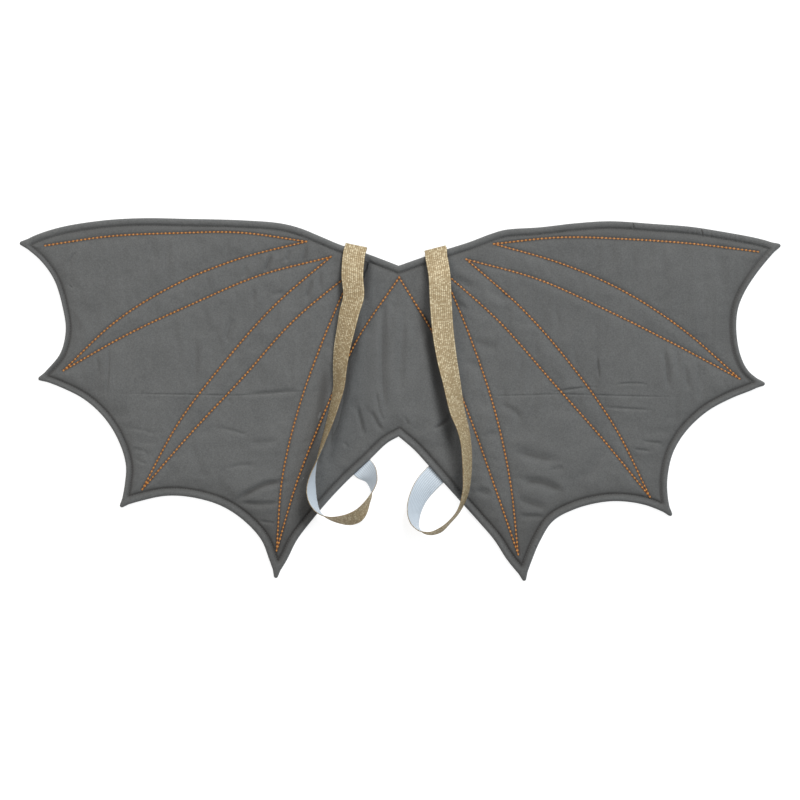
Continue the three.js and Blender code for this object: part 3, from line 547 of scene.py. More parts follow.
def make_rim_stitch():
    """The closed line of the topstitching, one rim's width inside the outline."""
    moved = {name: moved_in(stretches[name], STRETCHES[name]["rim"] * RIM_WIDTH) for name in names}
    meets = {name: crossing(moved[names[index - 1]], moved[name]) for index, name in enumerate(names)}
    pieces = []
    for index, name in enumerate(names):
        start, _, begin = meets[name]
        end, finish, _ = meets[names[(index + 1) % len(names)]]
        line = np.vstack([start, moved[name][begin + 1 : finish + 1], end])
        pieces.append(evenly(line, 2)[:-1])
    return np.vstack(pieces)


def make_rib(turn, following):
    start = on_panel(turn[1:3])
    end = on_panel(following[1:3])
    along = end - start
    left = np.array([-along[1], along[0]])
    bowed = [start + along * share + left * bow for share, bow in zip((0.25, 0.5, 0.75), turn[3])]
    return smooth_line([start, *bowed, end])


outline = make_outline(2.2)
rim_stitch = make_rim_stitch()
ribs = [make_rib(turn, following) for turn, following in zip(RIB_TURNS, RIB_TURNS[1:])]


def on_edge(place):
    """A point on the edge where a strap is caught, and the direction straight out of it."""
    name, share = place
    fine = evenly(stretches[name], 1)
    index = round(share * (len(fine) - 1))
    return fine[index], -left_of(fine)[index]


tucks = [on_edge(strap[end]) for strap in STRAPS.values() for end in ("top", "bottom")]


# Cloth surfaces

def smoothstep(value, low, high):
    t = np.clip((value - low) / (high - low), 0, 1)
    return t * t * (3 - 2 * t)


def near_tuck(points):
    """1 over a tucked strap end, fading to 0 within a few millimetres."""
    most = np.zeros(len(points))
    for place, out in tucks:
        away = points - place
        aside = np.abs(cross(away, out)) - STRAP_WIDTH / 2
        inwards = -(away @ out) - STRAP_TUCK
        most = np.maximum(most, 1 - smoothstep(np.maximum(aside, inwards), 0, TUCK_FADE))
    return most


def waves(points, kinds, slower=(1, 1)):
    """Smooth noise over the plane, which changes more slowly along an axis whose share in slower is below 1."""
    places = points * slower
    return sum(
        height * np.array([noise.noise((x / size, y / size, seed)) for x, y in places])
        for height, size, seed in kinds
    )


settled = None  # how far the simulated cloth has risen at a place, once it has been simulated


class Place:
    """Where points of the cloth are, against its edge and its seams."""

    def __init__(self, points):
        self.points = points
        self.edge, _ = to_line(points, close(outline))
        self.rim, self.along_rim = to_line(points, close(rim_stitch))
        self.rib = np.full(len(points), np.inf)
        self.along_rib = np.zeros(len(points))
        for index, rib in enumerate(ribs):
            away, along = to_line(points, rib)
            nearer = away < self.rib
            self.rib = np.where(nearer, away, self.rib)
            self.along_rib = np.where(nearer, along + 1000 * index, self.along_rib)
        self.open = is_inside(points, rim_stitch)
        self.seam = np.minimum(self.rim, self.rib)
        self.tucked = near_tuck(points)
        self.folds = fold_depth(points)
        self.settled = settled(self) if settled else np.zeros(len(points))


def puckers(along, away, height, size, reach, seed):
    """Little waves that run out from a seam."""
    across = np.array([noise.noise((a / size, d / (4 * size), seed)) for a, d in zip(along, away)])
    return height * (across * np.exp(-away / reach))


def all_folds():
    return [fold for region in FOLDS.values() for fold in region]


def fold_line(wide, pixels):
    """The middle of a fold, which lies on the light's side of its shaded wall."""
    return smooth_line([in_photo(pixel) for pixel in pixels], 6) - SHADED_SIDE * wide * TO_LIGHT


def fold_depth(points):
    """How far the folds raise the cloth. A fold fades at its ends, and the cloth rises a little beside a dent. One
    that runs towards the light is deeper than its shade shows."""
    total = np.zeros(len(points))
    for wide, rise, pixels in all_folds():
        line = fold_line(wide, pixels)
        length = length_along(line)[-1]
        athwart = abs(cross(line[-1] - line[0], TO_LIGHT)) / length
        near = (np.abs(points - line.mean(axis=0)) < length / 2 + 6 * wide).all(axis=1)
        away, along = to_line(points[near], line)
        fade = FOLD_FADE * length
        ends = smoothstep(along, 0, fade) * (1 - smoothstep(along, length - fade, length))
        raised, wider = BESIDE_DENT
        dent = np.exp(-((away / wide) ** 2)) - raised * np.exp(-((away / (wider * wide)) ** 2))
        total[near] += rise * FOLD_HEIGHT / max(athwart, LEAST_ATHWART) * dent * ends
    return FOLD_MOST * np.tanh(total / FOLD_MOST)


def front_height(place):
    """The front's height above the surface that the wings lie on, before the cloth settles."""
    aside, up = (place.points / (SPAN / 2, HEIGHT)).T
    risen = np.minimum(1 - np.exp(-place.rib / RIB_REACH), 1 - np.exp(-place.rim / GROOVE_REACH))
    floor = GROOVE_HEIGHT + (STITCHED_HEIGHT - GROOVE_HEIGHT) * smoothstep(place.rim, 0, STITCHED_REACH)
    upright = waves(place.points, UPRIGHT_WAVES, (1, LONG_WAVE))
    level = waves(place.points, LEVEL_WAVES, (LONG_WAVE, 1))
    low = smoothstep(-up, *LOW_PART)
    loft = PAD_HEIGHT - floor + waves(place.points, LUMPS)
    loft += upright * (1 - GIVEN_WAY * low) + level * (1 - GIVEN_WAY * (1 - low))
    along_seams = puckers(place.along_rim, place.rim, *SEAM_PUCKERS)
    along_seams += puckers(place.along_rib, place.rib, *RIB_PUCKERS)
    loose = 1 - np.exp(-place.seam / LOOSE_REACH)
    cloth = floor + loft * risen + (along_seams + place.folds) * loose + place.settled
    spare = cloth - SEAM_HEIGHT - LEAST_LOFT
    cloth += (np.sqrt(spare**2 + SOFT_LIMIT**2) - spare) / 2

    share = place.edge / (place.edge + place.rim)
    rounded = np.sqrt(1 - (1 - np.minimum(share / RIM_CROWN, 1)) ** 2)
    base = SEAM_HEIGHT + SEAM_GAP / 2 + TUCK_ROOM * place.tucked
    top = smoothstep(up, *TOP_RIM)
    height, *kind = RIM_PUCKERS
    crest = RIM_HEIGHT + puckers(place.along_rim, place.rim, 1, *kind) * (height + TOP_RIM_PUCKERS * top)
    gathers = np.sin(2 * math.pi * place.along_rim / GATHER_PITCH)
    crest += GATHER_HEIGHT * smoothstep(aside, *GATHERED_PART) * top * gathers + place.folds
    groove = crest - (crest - GROOVE_HEIGHT) * np.exp(-((place.rim / RIM_GROOVE) ** 1.3))
    rim = base + rounded * (groove - base)
    lifted = np.where(place.open, cloth, rim)
    return lifted + TUCK_BULGE * place.tucked * np.where(place.open, 1, rounded)


def back_height(place):
    """The back's height: flat where it lies, pulled up at the seams, and rounded up to the edge."""
    t = 1 - np.minimum(place.edge / BACK_ROUND, 1)
    edge = (SEAM_HEIGHT - SEAM_GAP / 2 - TUCK_ROOM * place.tucked) * (1 - np.sqrt(1 - t**2))
    return edge + BACK_GROOVE * np.exp(-((place.seam / BACK_GROOVE_REACH) ** 1.5))


def painted_shade_and_darkening(place, dents):
    """How much darker the cloth is: painted shade in and beside its seams and, where asked for, in deep dents, and
    darker towards the tails and on the right.
    """
    aside, up = (place.points / (SPAN / 2, HEIGHT)).T
    # Painted shade in the topstitching's groove, lighter along the top, which faces the light
    rim_seam_shade = np.exp(-((place.rim / RIM_SEAM_SHADE_REACH) ** 2)) * np.where(place.open, 1, OUTER_SIDE_SHADE)
    rim_seam_shade *= 1 - TOP_LESS_SHADE * smoothstep(up, *TOP_PART)
    # Painted shade on the open cloth for some way beside the rim
    beside_rim_shade = np.where(place.open, BESIDE_RIM_SHADE * np.exp(-place.rim / BESIDE_RIM_REACH), 0)
    # Painted shade along the ribs
    rib_seam_shade = RIB_SHADE * np.exp(-((place.rib / RIB_SHADE_REACH) ** 2))
    # Darker towards the tails, more so on the left, and half as much on the rim
    tails = (TAIL_DARKENING + LEFT_TAIL_DARKENING * smoothstep(-aside, 0, 0.3)) * smoothstep(-up, *TAIL_PART)
    total = np.maximum(rim_seam_shade, beside_rim_shade) + rib_seam_shade + np.where(place.open, tails, tails / 2)
    # A little darker towards the right
    total += RIGHT_DARKENING * smoothstep(aside, 0.1, 0.5)
    # Painted shade in the front's deep dents
    if dents:
        total += np.where(place.open, DENT_PAINTED_SHADE * smoothstep(-place.folds, *DEEP_DENT), 0)
    return total


def kept_apart(groups):
    """The points of each group that are clear of all the points kept before them."""
    cell = 1.5
    kept, cells = [], {}
    for points, clear in groups:
        ring = math.ceil(clear / cell)
        for x, y in points:
            column, row = int(x // cell), int(y // cell)
            near = (
                other
                for i in range(column - ring, column + ring + 1)
                for k in range(row - ring, row + ring + 1)
                for other in cells.get((i, k), ())
            )
            if all((x - a) ** 2 + (y - b) ** 2 >= clear**2 for a, b in near):
                kept.append((x, y))
                cells.setdefault((column, row), []).append((x, y))
    return np.array(kept)


def beside(line, offsets, step, closed=False):
    """Rows of points beside a line, at each offset to its left."""
    fine = evenly(close(line) if closed else line, step)
    left = left_of(fine)
    return [fine + offset * left for offset in offsets]


def hexagons(step):
    rows = []
    for row, y in enumerate(np.arange(-HEIGHT / 2, HEIGHT / 2, step * 0.866)):
        x = np.arange(-SPAN / 2, SPAN / 2, step) + (row % 2) * step / 2
        rows.append(np.column_stack([x, np.full(len(x), y)]))
    return np.vstack(rows)


def panel_mesh(
    name, height, rib_rows, rim_rows, edge_rows, fold_rows, rim_step, seam_step, open_step, upwards
):
    """A closed panel: its shaped side, with rows of points along seams and folds, and a flat side at the seam."""
    groups = [(row, 0.45 * seam_step) for rib in ribs for row in beside(rib, rib_rows, seam_step)]
    groups += [(row, 0.45 * rim_step) for row in beside(rim_stitch, rim_rows, rim_step, closed=True)]
    groups += [(row, 0.28 * seam_step) for row in beside(outline, edge_rows, rim_step, closed=True)]
    for wide, _, pixels in all_folds():
        offsets = [share * wide for share in fold_rows]
        groups += [(row, 0.35 * wide) for row in beside(fold_line(wide, pixels), offsets, 0.7 * seam_step)]
    groups += [(hexagons(open_step), 0.75 * open_step)]
    sown = kept_apart(groups)
    sown = sown[is_inside(sown, outline)]
    sown = sown[to_line(sown, close(outline))[0] > 0.25]
    count = len(outline)
    ring = [(i, (i + 1) % count) for i in range(count)]
    plane = [Vector(p) for p in np.vstack([outline, sown])]
    points, _, shaped, *_ = delaunay_2d_cdt(plane, ring, [], 1, 1e-5)
    points = np.array([tuple(p) for p in points])
    place = Place(points)
    z = height(place)
    _, _, flat, *_ = delaunay_2d_cdt(plane[:count], ring, [], 1, 1e-5)
    shaped = np.array(shaped)
    flat = np.array(flat)
    faces = np.vstack([shaped, flat[:, ::-1]] if upwards else [shaped[:, ::-1], flat])
    mesh = bpy.data.meshes.new(name)
    mesh.from_pydata(np.column_stack([points, z]) * METRE, [], faces.tolist())
    mesh.validate()
    # Painted shade of the seams and deep dents, with the darker tails and right side, stored as the seam attribute
    darker = painted_shade_and_darkening(place, dents=upwards).astype(np.float32)
    mesh.attributes.new("seam", "FLOAT", "POINT").data.foreach_set("value", darker)
    mesh.shade_smooth()
    return mesh


def settle_front():
    """A short cloth simulation of the front. The cloth is pinned at its seams and slightly too large for them,
    and the wadding lifts it, so it puckers. Returns a function that gives how far it has risen at a Place."""
    ring = evenly(close(rim_stitch), SETTLE_STEP)[:-1]
    count = len(ring)
    on_ribs = [(row, 0.7 * SETTLE_STEP) for rib in ribs for row in beside(rib, (0,), SETTLE_STEP)]
    sown = kept_apart([(ring, 0), *on_ribs, (hexagons(SETTLE_STEP), 0.8 * SETTLE_STEP)])[count:]
    sown = sown[is_inside(sown, rim_stitch)]
    plane = [Vector(p) for p in np.vstack([ring, sown])]
    seam = [(i, (i + 1) % count) for i in range(count)]
    points, _, faces, *_ = delaunay_2d_cdt(plane, seam, [], 1, 1e-5)
    flat = np.array([tuple(p) for p in points])
    place = Place(flat)
    before = np.column_stack([flat, front_height(place)])
    mesh = bpy.data.meshes.new("settling_cloth")
    mesh.from_pydata(before * METRE, [], faces)
    sheet = add_piece(mesh)
    group = sheet.vertex_groups.new(name="held")
    on_seam = place.seam < 0.3 * SETTLE_STEP
    group.add(np.flatnonzero(on_seam).tolist(), 1, "REPLACE")
    group.add(np.flatnonzero(~on_seam).tolist(), SETTLE_HOLD, "REPLACE")
    cloth = sheet.modifiers.new("cloth", "CLOTH")
    cloth.point_cache.frame_start = 1
    cloth.point_cache.frame_end = SETTLE_FRAMES
    settings = cloth.settings
    settings.quality = 6
    settings.vertex_group_mass = "held"
    settings.use_pressure = True
    settings.uniform_pressure_force = SETTLE_PRESSURE
    settings.shrink_min = -SETTLE_GROWTH
    settings.effector_weights.gravity = 0
    for number in range(1, SETTLE_FRAMES + 1):
        bpy.context.scene.frame_set(number)
    posed = sheet.evaluated_get(bpy.context.evaluated_depsgraph_get())
    after = np.empty(3 * len(flat), np.float32)
    posed.data.vertices.foreach_get("co", after)
    rise = after.reshape(-1, 3)[:, 2] / METRE - before[:, 2]
    bpy.context.scene.frame_set(1)
    bpy.data.objects.remove(sheet)
    bpy.data.meshes.remove(mesh)
    rise -= np.median(rise[~on_seam])
    rise[on_seam] = 0
    rise = SETTLE_CAP * np.tanh(rise / SETTLE_CAP)
    tree = BVHTree.FromPolygons([(x, y, 0) for x, y in flat], faces)
    corners = np.array(faces)

    def risen(place):
        total = np.zeros(len(place.points))
        for i in np.flatnonzero(place.open):
            x, y = place.points[i]
            hit, _, face, _ = tree.ray_cast((x, y, 1), (0, 0, -1))
            if face is not None:
                a, b, c = flat[corners[face]]
                whole = cross(b - a, c - a)
                here = np.array((x, y))
                share = cross(b - here, c - here) / whole, cross(c - here, a - here) / whole
                total[i] = np.dot((*share, 1 - sum(share)), rise[corners[face]])
        return total * (1 - np.exp(-place.seam / LOOSE_REACH))

    return risen


def add_piece(mesh, *materials):
    piece = bpy.data.objects.new(mesh.name, mesh)
    bpy.context.scene.collection.objects.link(piece)
    for material in materials:
        mesh.materials.append(material)
    return piece


# Elastic arm loops

def smooth_between(p0, p1, p2, p3, t):
    pull = (p2 - p0) / 2
    push = (p3 - p1) / 2
    bend = 3 * (p2 - p1) - 2 * pull - push
    return p1 + pull * t + bend * t**2 + (2 * (p1 - p2) + pull + push) * t**3


def direction(vector):
    return math.atan2(vector[1], vector[0])


def near_to(angle, other):
    """The same direction as angle, written within half a turn of another."""
    return angle - 2 * math.pi * round((angle - other) / (2 * math.pi))


def strap_rows(strap):
    """The loop from one tucked end to the other, as rows of x, y, turn, tilt, lift and, where it is held, z."""
    quarter = strap["inner"] * math.pi / 2
    (leave, leave_out), (enter, enter_out) = on_edge(strap["top"]), on_edge(strap["bottom"])
    route = [dict(zip("xy", on_panel(row)), tilt=row[2], lift=row[3]) for row in strap["rows"]]
    rest = PAD_HEIGHT + STRAP_REST_GAP + STRAP_THICKNESS / 2
    radius = (rest - SEAM_HEIGHT) / 2
    first_turn = math.atan2(route[1]["y"] - route[0]["y"], route[1]["x"] - route[0]["x"]) + quarter
    start_turn = near_to(direction(leave_out) + quarter - math.pi, first_turn)
    end_turn = direction(-enter_out) + quarter
    fold_at = STRAP_OVERHANG - radius - STRAP_THICKNESS / 2

    def out_from(edge, out, distance):
        return dict(zip("xy", edge + distance * out))

    tucked = [
        dict(out_from(leave, leave_out, -share * STRAP_TUCK), turn=start_turn, tilt=0, lift=0, z=SEAM_HEIGHT)
        for share in (1, 0.5, 0)
    ]
    fold = [
        dict(
            out_from(leave, leave_out, fold_at + radius * math.cos(math.radians(angle))),
            turn=start_turn + (first_turn - start_turn) * index / 5,
            tilt=0,
            lift=0,
            z=SEAM_HEIGHT + radius * (1 + math.sin(math.radians(angle))),
        )
        for index, angle in enumerate((-90, -45, 0, 45, 90))
    ]
    tail = [
        dict(out_from(enter, enter_out, away), turn=end_turn, tilt=180, lift=0, z=SEAM_HEIGHT)
        for away in (SEAM_LEAD, 0, -STRAP_TUCK / 2, -STRAP_TUCK)
    ]
    rows = tucked + fold + route + tail
    for index, row in enumerate(rows):
        if "turn" not in row:
            before, after = rows[index - 1], rows[index + 1]
            row["turn"] = math.atan2(after["y"] - before["y"], after["x"] - before["x"]) + quarter
        if index:
            row["turn"] = near_to(row["turn"], rows[index - 1]["turn"])
    return rows


def strap_samples(strap):
    """The rows joined up into short steps: x, y, turn, tilt, lift, z and whether z is held."""
    rows = strap_rows(strap)
    samples = []
    for index in range(len(rows) - 1):
        around = [rows[min(max(index + step, 0), len(rows) - 1)] for step in (-1, 0, 1, 2)]
        here, there = around[1:3]
        held = "z" in here and "z" in there
        length = math.hypot(there["x"] - here["x"], there["y"] - here["y"])
        parts = max(1, round(length / STRAP_STEP))
        last = index == len(rows) - 2
        for part in range(parts + last):
            t = part / parts
            x, y, tilt, lift = (
                smooth_between(*(row[key] for row in around), t) for key in ("x", "y", "tilt", "lift")
            )
            turn = here["turn"] + (there["turn"] - here["turn"]) * t
            z = here["z"] + (there["z"] - here["z"]) * t if held else here.get("z") if part == 0 else None
            samples.append((x, y, turn, math.radians(tilt), lift * STRAP_WIDTH, z or 0, z is not None))
    return np.array(samples, float)


def strap_sections(strap):
    """The webbing's middle, the direction to its inner edge and the direction of its gold face, in fine steps."""
    x, y, turn, tilt, lift, z, held = strap_samples(strap).T
    across = np.column_stack([np.cos(turn) * np.cos(tilt), np.sin(turn) * np.cos(tilt), np.sin(tilt)])
    least = np.full(len(x), -np.inf)
    for side in (-0.5, 0, 0.5):
        point = np.column_stack([x, y]) + side * STRAP_WIDTH * across[:, :2]
        over_cloth = is_inside(point, outline) | (to_line(point, close(outline))[0] < STRAP_THICKNESS)
        below = STRAP_THICKNESS / 2 * np.abs(np.cos(tilt)) - side * STRAP_WIDTH * across[:, 2]
        least = np.maximum(least, np.where(over_cloth, PAD_HEIGHT, 0) + STRAP_REST_GAP + below + lift)
    held = held.astype(bool)
    z = np.where(held, z, least)
    for _ in range(400):
        for i in range(1, len(z) - 1):
            if not held[i]:
                z[i] = max(least[i], (z[i - 1] + z[i + 1]) / 2)
    fine = smooth_line(np.column_stack([x, y, z, across]), 5)
    reach = length_along(fine[:, :3])
    at = np.linspace(0, reach[-1], round(reach[-1] / STRAP_FINE_STEP) + 1)
    fine = np.column_stack([np.interp(at, reach, column) for column in fine.T])
    middle, across = fine[:, :3], fine[:, 3:]
    across /= np.linalg.norm(across, axis=1)[:, None]
    face = strap["inner"] * np.cross(np.gradient(middle, axis=0), across)
    face /= np.linalg.norm(face, axis=1)[:, None]
    return middle, across, face, at


def strap_profile():
    """Across the webbing: how far aside, how far up its face, and whether the next step is on the pale side."""
    columns = 4 * STRAP_CORDS
    edge = STRAP_THICKNESS / 2 - CORD_RELIEF
    share = np.linspace(-1, 1, columns + 1)
    flat = STRAP_WIDTH / 2 - edge
    relief = edge + CORD_RELIEF * np.abs(np.sin(np.pi * STRAP_CORDS * (share + 1) / 2))
    face = [(flat * s, up, False) for s, up in zip(share, relief)]
    inside = [(-flat * s, -up, True) for s, up in zip(share, relief)]
    turn = np.radians([60, 30, 0, -30, -60])
    right = [(flat + edge * math.cos(a), edge * math.sin(a), False) for a in turn]
    left = [(-flat - edge * math.cos(a), -edge * math.sin(a), False) for a in turn]
    return face + right + inside + left


def strap_mesh(name, strap):
    middle, across, face, along = strap_sections(strap)
    profile = strap_profile()
    around = len(profile)
    points = np.concatenate([
        (middle[:, None] + across[:, None] * aside + face[:, None] * up) for aside, up, _ in profile
    ], axis=1)
    count = len(middle)
    faces, pale, uvs = [], [], []
    for i in range(count - 1):
        for k in range(around):
            n = (k + 1) % around
            corners = [(i, k), (i, n), (i + 1, n), (i + 1, k)]
            if strap["inner"] > 0:
                corners.reverse()
            faces.append([row * around + column for row, column in corners])
            pale.append(profile[k][2])
            uvs += [(profile[column][0], along[row]) for row, column in corners]
    for row, order in ((0, 1), (count - 1, -1)):
        cap = [row * around + k for k in range(around)][:: order * strap["inner"]]
        faces.append(cap)
        pale.append(True)
        uvs += [(profile[c - row * around][0], along[row]) for c in cap]
    mesh = bpy.data.meshes.new(name)
    mesh.from_pydata(points.reshape(-1, 3) * METRE, [], faces)
    mesh.uv_layers.new(name="webbing").data.foreach_set("uv", np.array(uvs, np.float32).ravel())
    mesh.polygons.foreach_set("material_index", np.array(pale, np.int32))
    mesh.shade_smooth()
    return mesh


# Stitching

def seam_lines(name, lines, height, lift):
    """A mesh of bare edges along the seams, on the cloth's surface."""
    points, edges = [], []
    for line in lines:
        z = height(Place(line)) + lift
        start = len(points)
        points += np.column_stack([line, z]).tolist()
        edges += [(start + i, start + i + 1) for i in range(len(line) - 1)]
    mesh = bpy.data.meshes.new(name)
    mesh.from_pydata(np.array(points) * METRE, edges, [])
    return add_piece(mesh)


def add_node(tree, kind, inputs=None, **settings):
    """A node with its settings, and each of its inputs linked to a socket or set to a value."""
    made = tree.nodes.new(kind)
    for name, value in settings.items():
        setattr(made, name, value)
    for socket, value in (inputs or {}).items():
        if isinstance(value, bpy.types.NodeSocket):
            tree.links.new(value, made.inputs[socket])
        else:
            made.inputs[socket].default_value = value
    return made


def stitching_tree():
    """Stitches laid end to end along bare edges, over a thin core that shows in the needle holes and takes the
    thread's painted shade.
    """
    tree = bpy.data.node_groups.new("stitching", "GeometryNodeTree")
    tree.interface.new_socket("Geometry", in_out="OUTPUT", socket_type="NodeSocketGeometry")
    for label, kind in (
        ("Geometry", "Geometry"),
        ("Pitch", "Float"),
        ("Stitch size", "Vector"),
        ("Core radius", "Float"),
        ("Seed", "Int"),
        ("Thread", "Material"),
    ):
        tree.interface.new_socket(label, in_out="INPUT", socket_type="NodeSocket" + kind)

    def geometry(kind, inputs, output="Geometry", **settings):
        return add_node(tree, kind, inputs, **settings).outputs[output]

    def named(shape, name, value):
        return geometry("GeometryNodeStoreNamedAttribute", {"Geometry": shape, "Name": name, "Value": value})

    given = add_node(tree, "NodeGroupInput").outputs
    curve = geometry("GeometryNodeMeshToCurve", {"Mesh": given["Geometry"]}, "Curve")
    spacing = {"Curve": curve, "Length": given["Pitch"]}
    spaced = geometry("GeometryNodeResampleCurve", spacing, "Curve", mode="LENGTH")

    bean = geometry("GeometryNodeMeshUVSphere", {"Segments": 8, "Rings": 6, "Radius": 0.5}, "Mesh")
    bean = geometry("GeometryNodeTransform", {"Geometry": bean, "Rotation": (0, math.pi / 2, 0)})
    position = geometry("GeometryNodeInputPosition", {}, "Position")
    axes = add_node(tree, "ShaderNodeSeparateXYZ", {"Vector": position}).outputs
    bean = named(named(bean, "along", axes["X"]), "aside", axes["Y"])
    bean = geometry("GeometryNodeTransform", {"Geometry": bean, "Scale": given["Stitch size"]})

    tangent = geometry("GeometryNodeInputTangent", {}, "Tangent")
    varied = {"Min": STITCH_LEAST, "Max": STITCH_MOST, "Seed": given["Seed"]}
    laid = geometry("GeometryNodeInstanceOnPoints", {
        "Points": spaced,
        "Instance": bean,
        "Rotation": geometry("FunctionNodeAlignRotationToVector", {"Vector": tangent}, "Rotation", axis="X"),
        "Scale": geometry("FunctionNodeRandomValue", varied, "Value", data_type="FLOAT_VECTOR"),
    }, "Instances")
    stitches = geometry("GeometryNodeRealizeInstances", {"Geometry": laid})

    section = {"Resolution": 5, "Radius": given["Core radius"]}
    core = geometry("GeometryNodeCurveToMesh", {
        "Curve": spaced,
        "Profile Curve": geometry("GeometryNodeCurvePrimitiveCircle", section, "Curve"),
        "Fill Caps": True,
    }, "Mesh")
    # The core is marked as at a stitch's very end, so it takes the thread's darkest colour, painted shade in the
    # needle holes
    joined = add_node(tree, "GeometryNodeJoinGeometry", {"Geometry": named(core, "along", 0.5)})
    tree.links.new(stitches, joined.inputs["Geometry"])
    smooth = geometry("GeometryNodeSetShadeSmooth", {"Geometry": joined.outputs["Geometry"]})
    threaded = geometry("GeometryNodeSetMaterial", {"Geometry": smooth, "Material": given["Thread"]})
    add_node(tree, "NodeGroupOutput", {"Geometry": threaded})
    return tree


def stitched(lines, tree, **inputs):
    """The seam lines as finished stitching, one plain mesh."""
    modifier = lines.modifiers.new("stitching", "NODES")
    modifier.node_group = tree
    sockets = {item.name: item.identifier for item in tree.interface.items_tree if item.in_out == "INPUT"}
    for label, value in inputs.items():
        modifier[sockets[label.replace("_", " ").capitalize()]] = value
    evaluated = lines.evaluated_get(bpy.context.evaluated_depsgraph_get())
    mesh = bpy.data.meshes.new_from_object(evaluated)
    name = lines.name
    bare = lines.data
    bpy.data.objects.remove(lines)
    bpy.data.meshes.remove(bare)
    mesh.name = name
    return add_piece(mesh)


# Materials

class Finish:
    """A material that is being made, with short ways to add and join its nodes."""

    def __init__(self, name, **settings):
        self.material = bpy.data.materials.new(name)
        self.material.use_nodes = True
        self.tree = self.material.node_tree
        self.shader = self.tree.nodes["Principled BSDF"]
        for socket, value in settings.items():
            self.shader.inputs[socket.replace("_", " ")].default_value = value

    def node(self, kind, inputs=None, **settings):
        return add_node(self.tree, kind, inputs, **settings)

    def attribute(self, name):
        return self.node("ShaderNodeAttribute", attribute_name=name).outputs["Fac"]

    def sum(self, operation, a, b=0.0, c=0.0, clamp=False):
        inputs = {0: a, 1: b, 2: c}
        return self.node("ShaderNodeMath", inputs, operation=operation, use_clamp=clamp).outputs[0]

    def times(self, a, b):
        return self.sum("MULTIPLY", a, b)

    def noise(self, where, scale, detail, rough=0.5):
        inputs = {"Vector": where, "Scale": scale, "Detail": detail, "Roughness": rough}
        return self.node("ShaderNodeTexNoise", inputs).outputs["Fac"]

    def ramp(self, value, *stops):
        made = self.node("ShaderNodeValToRGB", {"Fac": value})
        ends = made.color_ramp.elements
        while len(ends) < len(stops):
            ends.new(0.5)
        for end, (position, colour) in zip(ends, stops):
            end.position = position
            end.color = (*colour, 1)
        return made.outputs["Color"]

    def mix(self, factor, colour, other):
        """A colour mixed towards another, which is the same everywhere."""
        inputs = {"Factor": factor, 6: colour, 7: (*other, 1)}
        return self.node("ShaderNodeMix", inputs, data_type="RGBA").outputs[2]

    def bump(self, height, distance, strength=1.0, normal=None):
        inputs = {"Height": height, "Distance": distance * METRE, "Strength": strength}
        if normal:
            inputs["Normal"] = normal
        return self.node("ShaderNodeBump", inputs).outputs["Normal"]

    def finished(self, colour, normal):
        self.tree.links.new(colour, self.shader.inputs["Base Color"])
        self.tree.links.new(normal, self.shader.inputs["Normal"])
        return self.material


def cotton():
    """Matt plain-woven cotton, faintly mottled, with painted shade in its seams and dents, and darker towards the
    tails and on the right.
    """
    finish = Finish("cotton", Roughness=0.93, Sheen_Weight=0.1, Sheen_Roughness=0.6)
    where = finish.node("ShaderNodeTexCoord").outputs["Object"]
    cloudy = finish.noise(where, CLOUD_SCALE, 4, 0.6)
    yarns = finish.noise(where, YARN_SCALE, 2, 0.6)
    tone = finish.sum("ADD", finish.times(cloudy, 0.3), finish.times(yarns, 0.7))
    colour = finish.ramp(tone, (0.3, COTTON_DARK), (0.7, COTTON_LIGHT))
    # The seam attribute mixes in painted shade, and the darker tails and right side
    shade = finish.sum("MULTIPLY", finish.attribute("seam"), 0.8, clamp=True)
    colour = finish.mix(shade, colour, COTTON_SHADED)
    wave = {"Vector": where, "Scale": WEAVE_SCALE, "Distortion": 0.6, "Detail": 1.0, "Detail Scale": 2.0}
    warp, weft = (
        finish.node("ShaderNodeTexWave", wave, bands_direction=axis).outputs["Fac"] for axis in ("X", "Y")
    )
    normal = finish.bump(finish.sum("MAXIMUM", warp, weft), 0.18, 0.5)
    return finish.finished(colour, finish.bump(yarns, 0.5, 0.35, normal))


def rib_thread():
    """Shiny orange embroidery thread, with painted shade where it dives into the cloth."""
    finish = Finish("rib_thread", Roughness=0.45)
    along = finish.attribute("along")
    twist = finish.sum("ADD", finish.times(along, 9.0), finish.times(finish.attribute("aside"), 14.0))
    strands = finish.sum("SINE", twist)
    end = finish.sum("ABSOLUTE", along)
    colour = finish.ramp(end, (0.12, ORANGE), (0.27, ORANGE_END_SHADE), (0.35, ORANGE_HOLE_SHADE))
    # Painted shade between the strands
    between = finish.sum("MULTIPLY_ADD", strands, 0.12, 0.62, clamp=True)
    colour = finish.mix(between, colour, ORANGE_STRAND_SHADE)
    return finish.finished(colour, finish.bump(strands, 0.12))


def rim_thread():
    """Grey sewing thread, with painted shade towards its ends where it dives into the cloth."""
    finish = Finish("rim_thread", Roughness=0.7, Sheen_Weight=0.1)
    along = finish.attribute("along")
    colour = finish.ramp(finish.sum("ABSOLUTE", along), (0.2, GREY_THREAD), (0.48, GREY_THREAD_END_SHADE))
    strands = finish.sum("SINE", finish.times(along, 16.0))
    return finish.finished(colour, finish.bump(strands, 0.06))


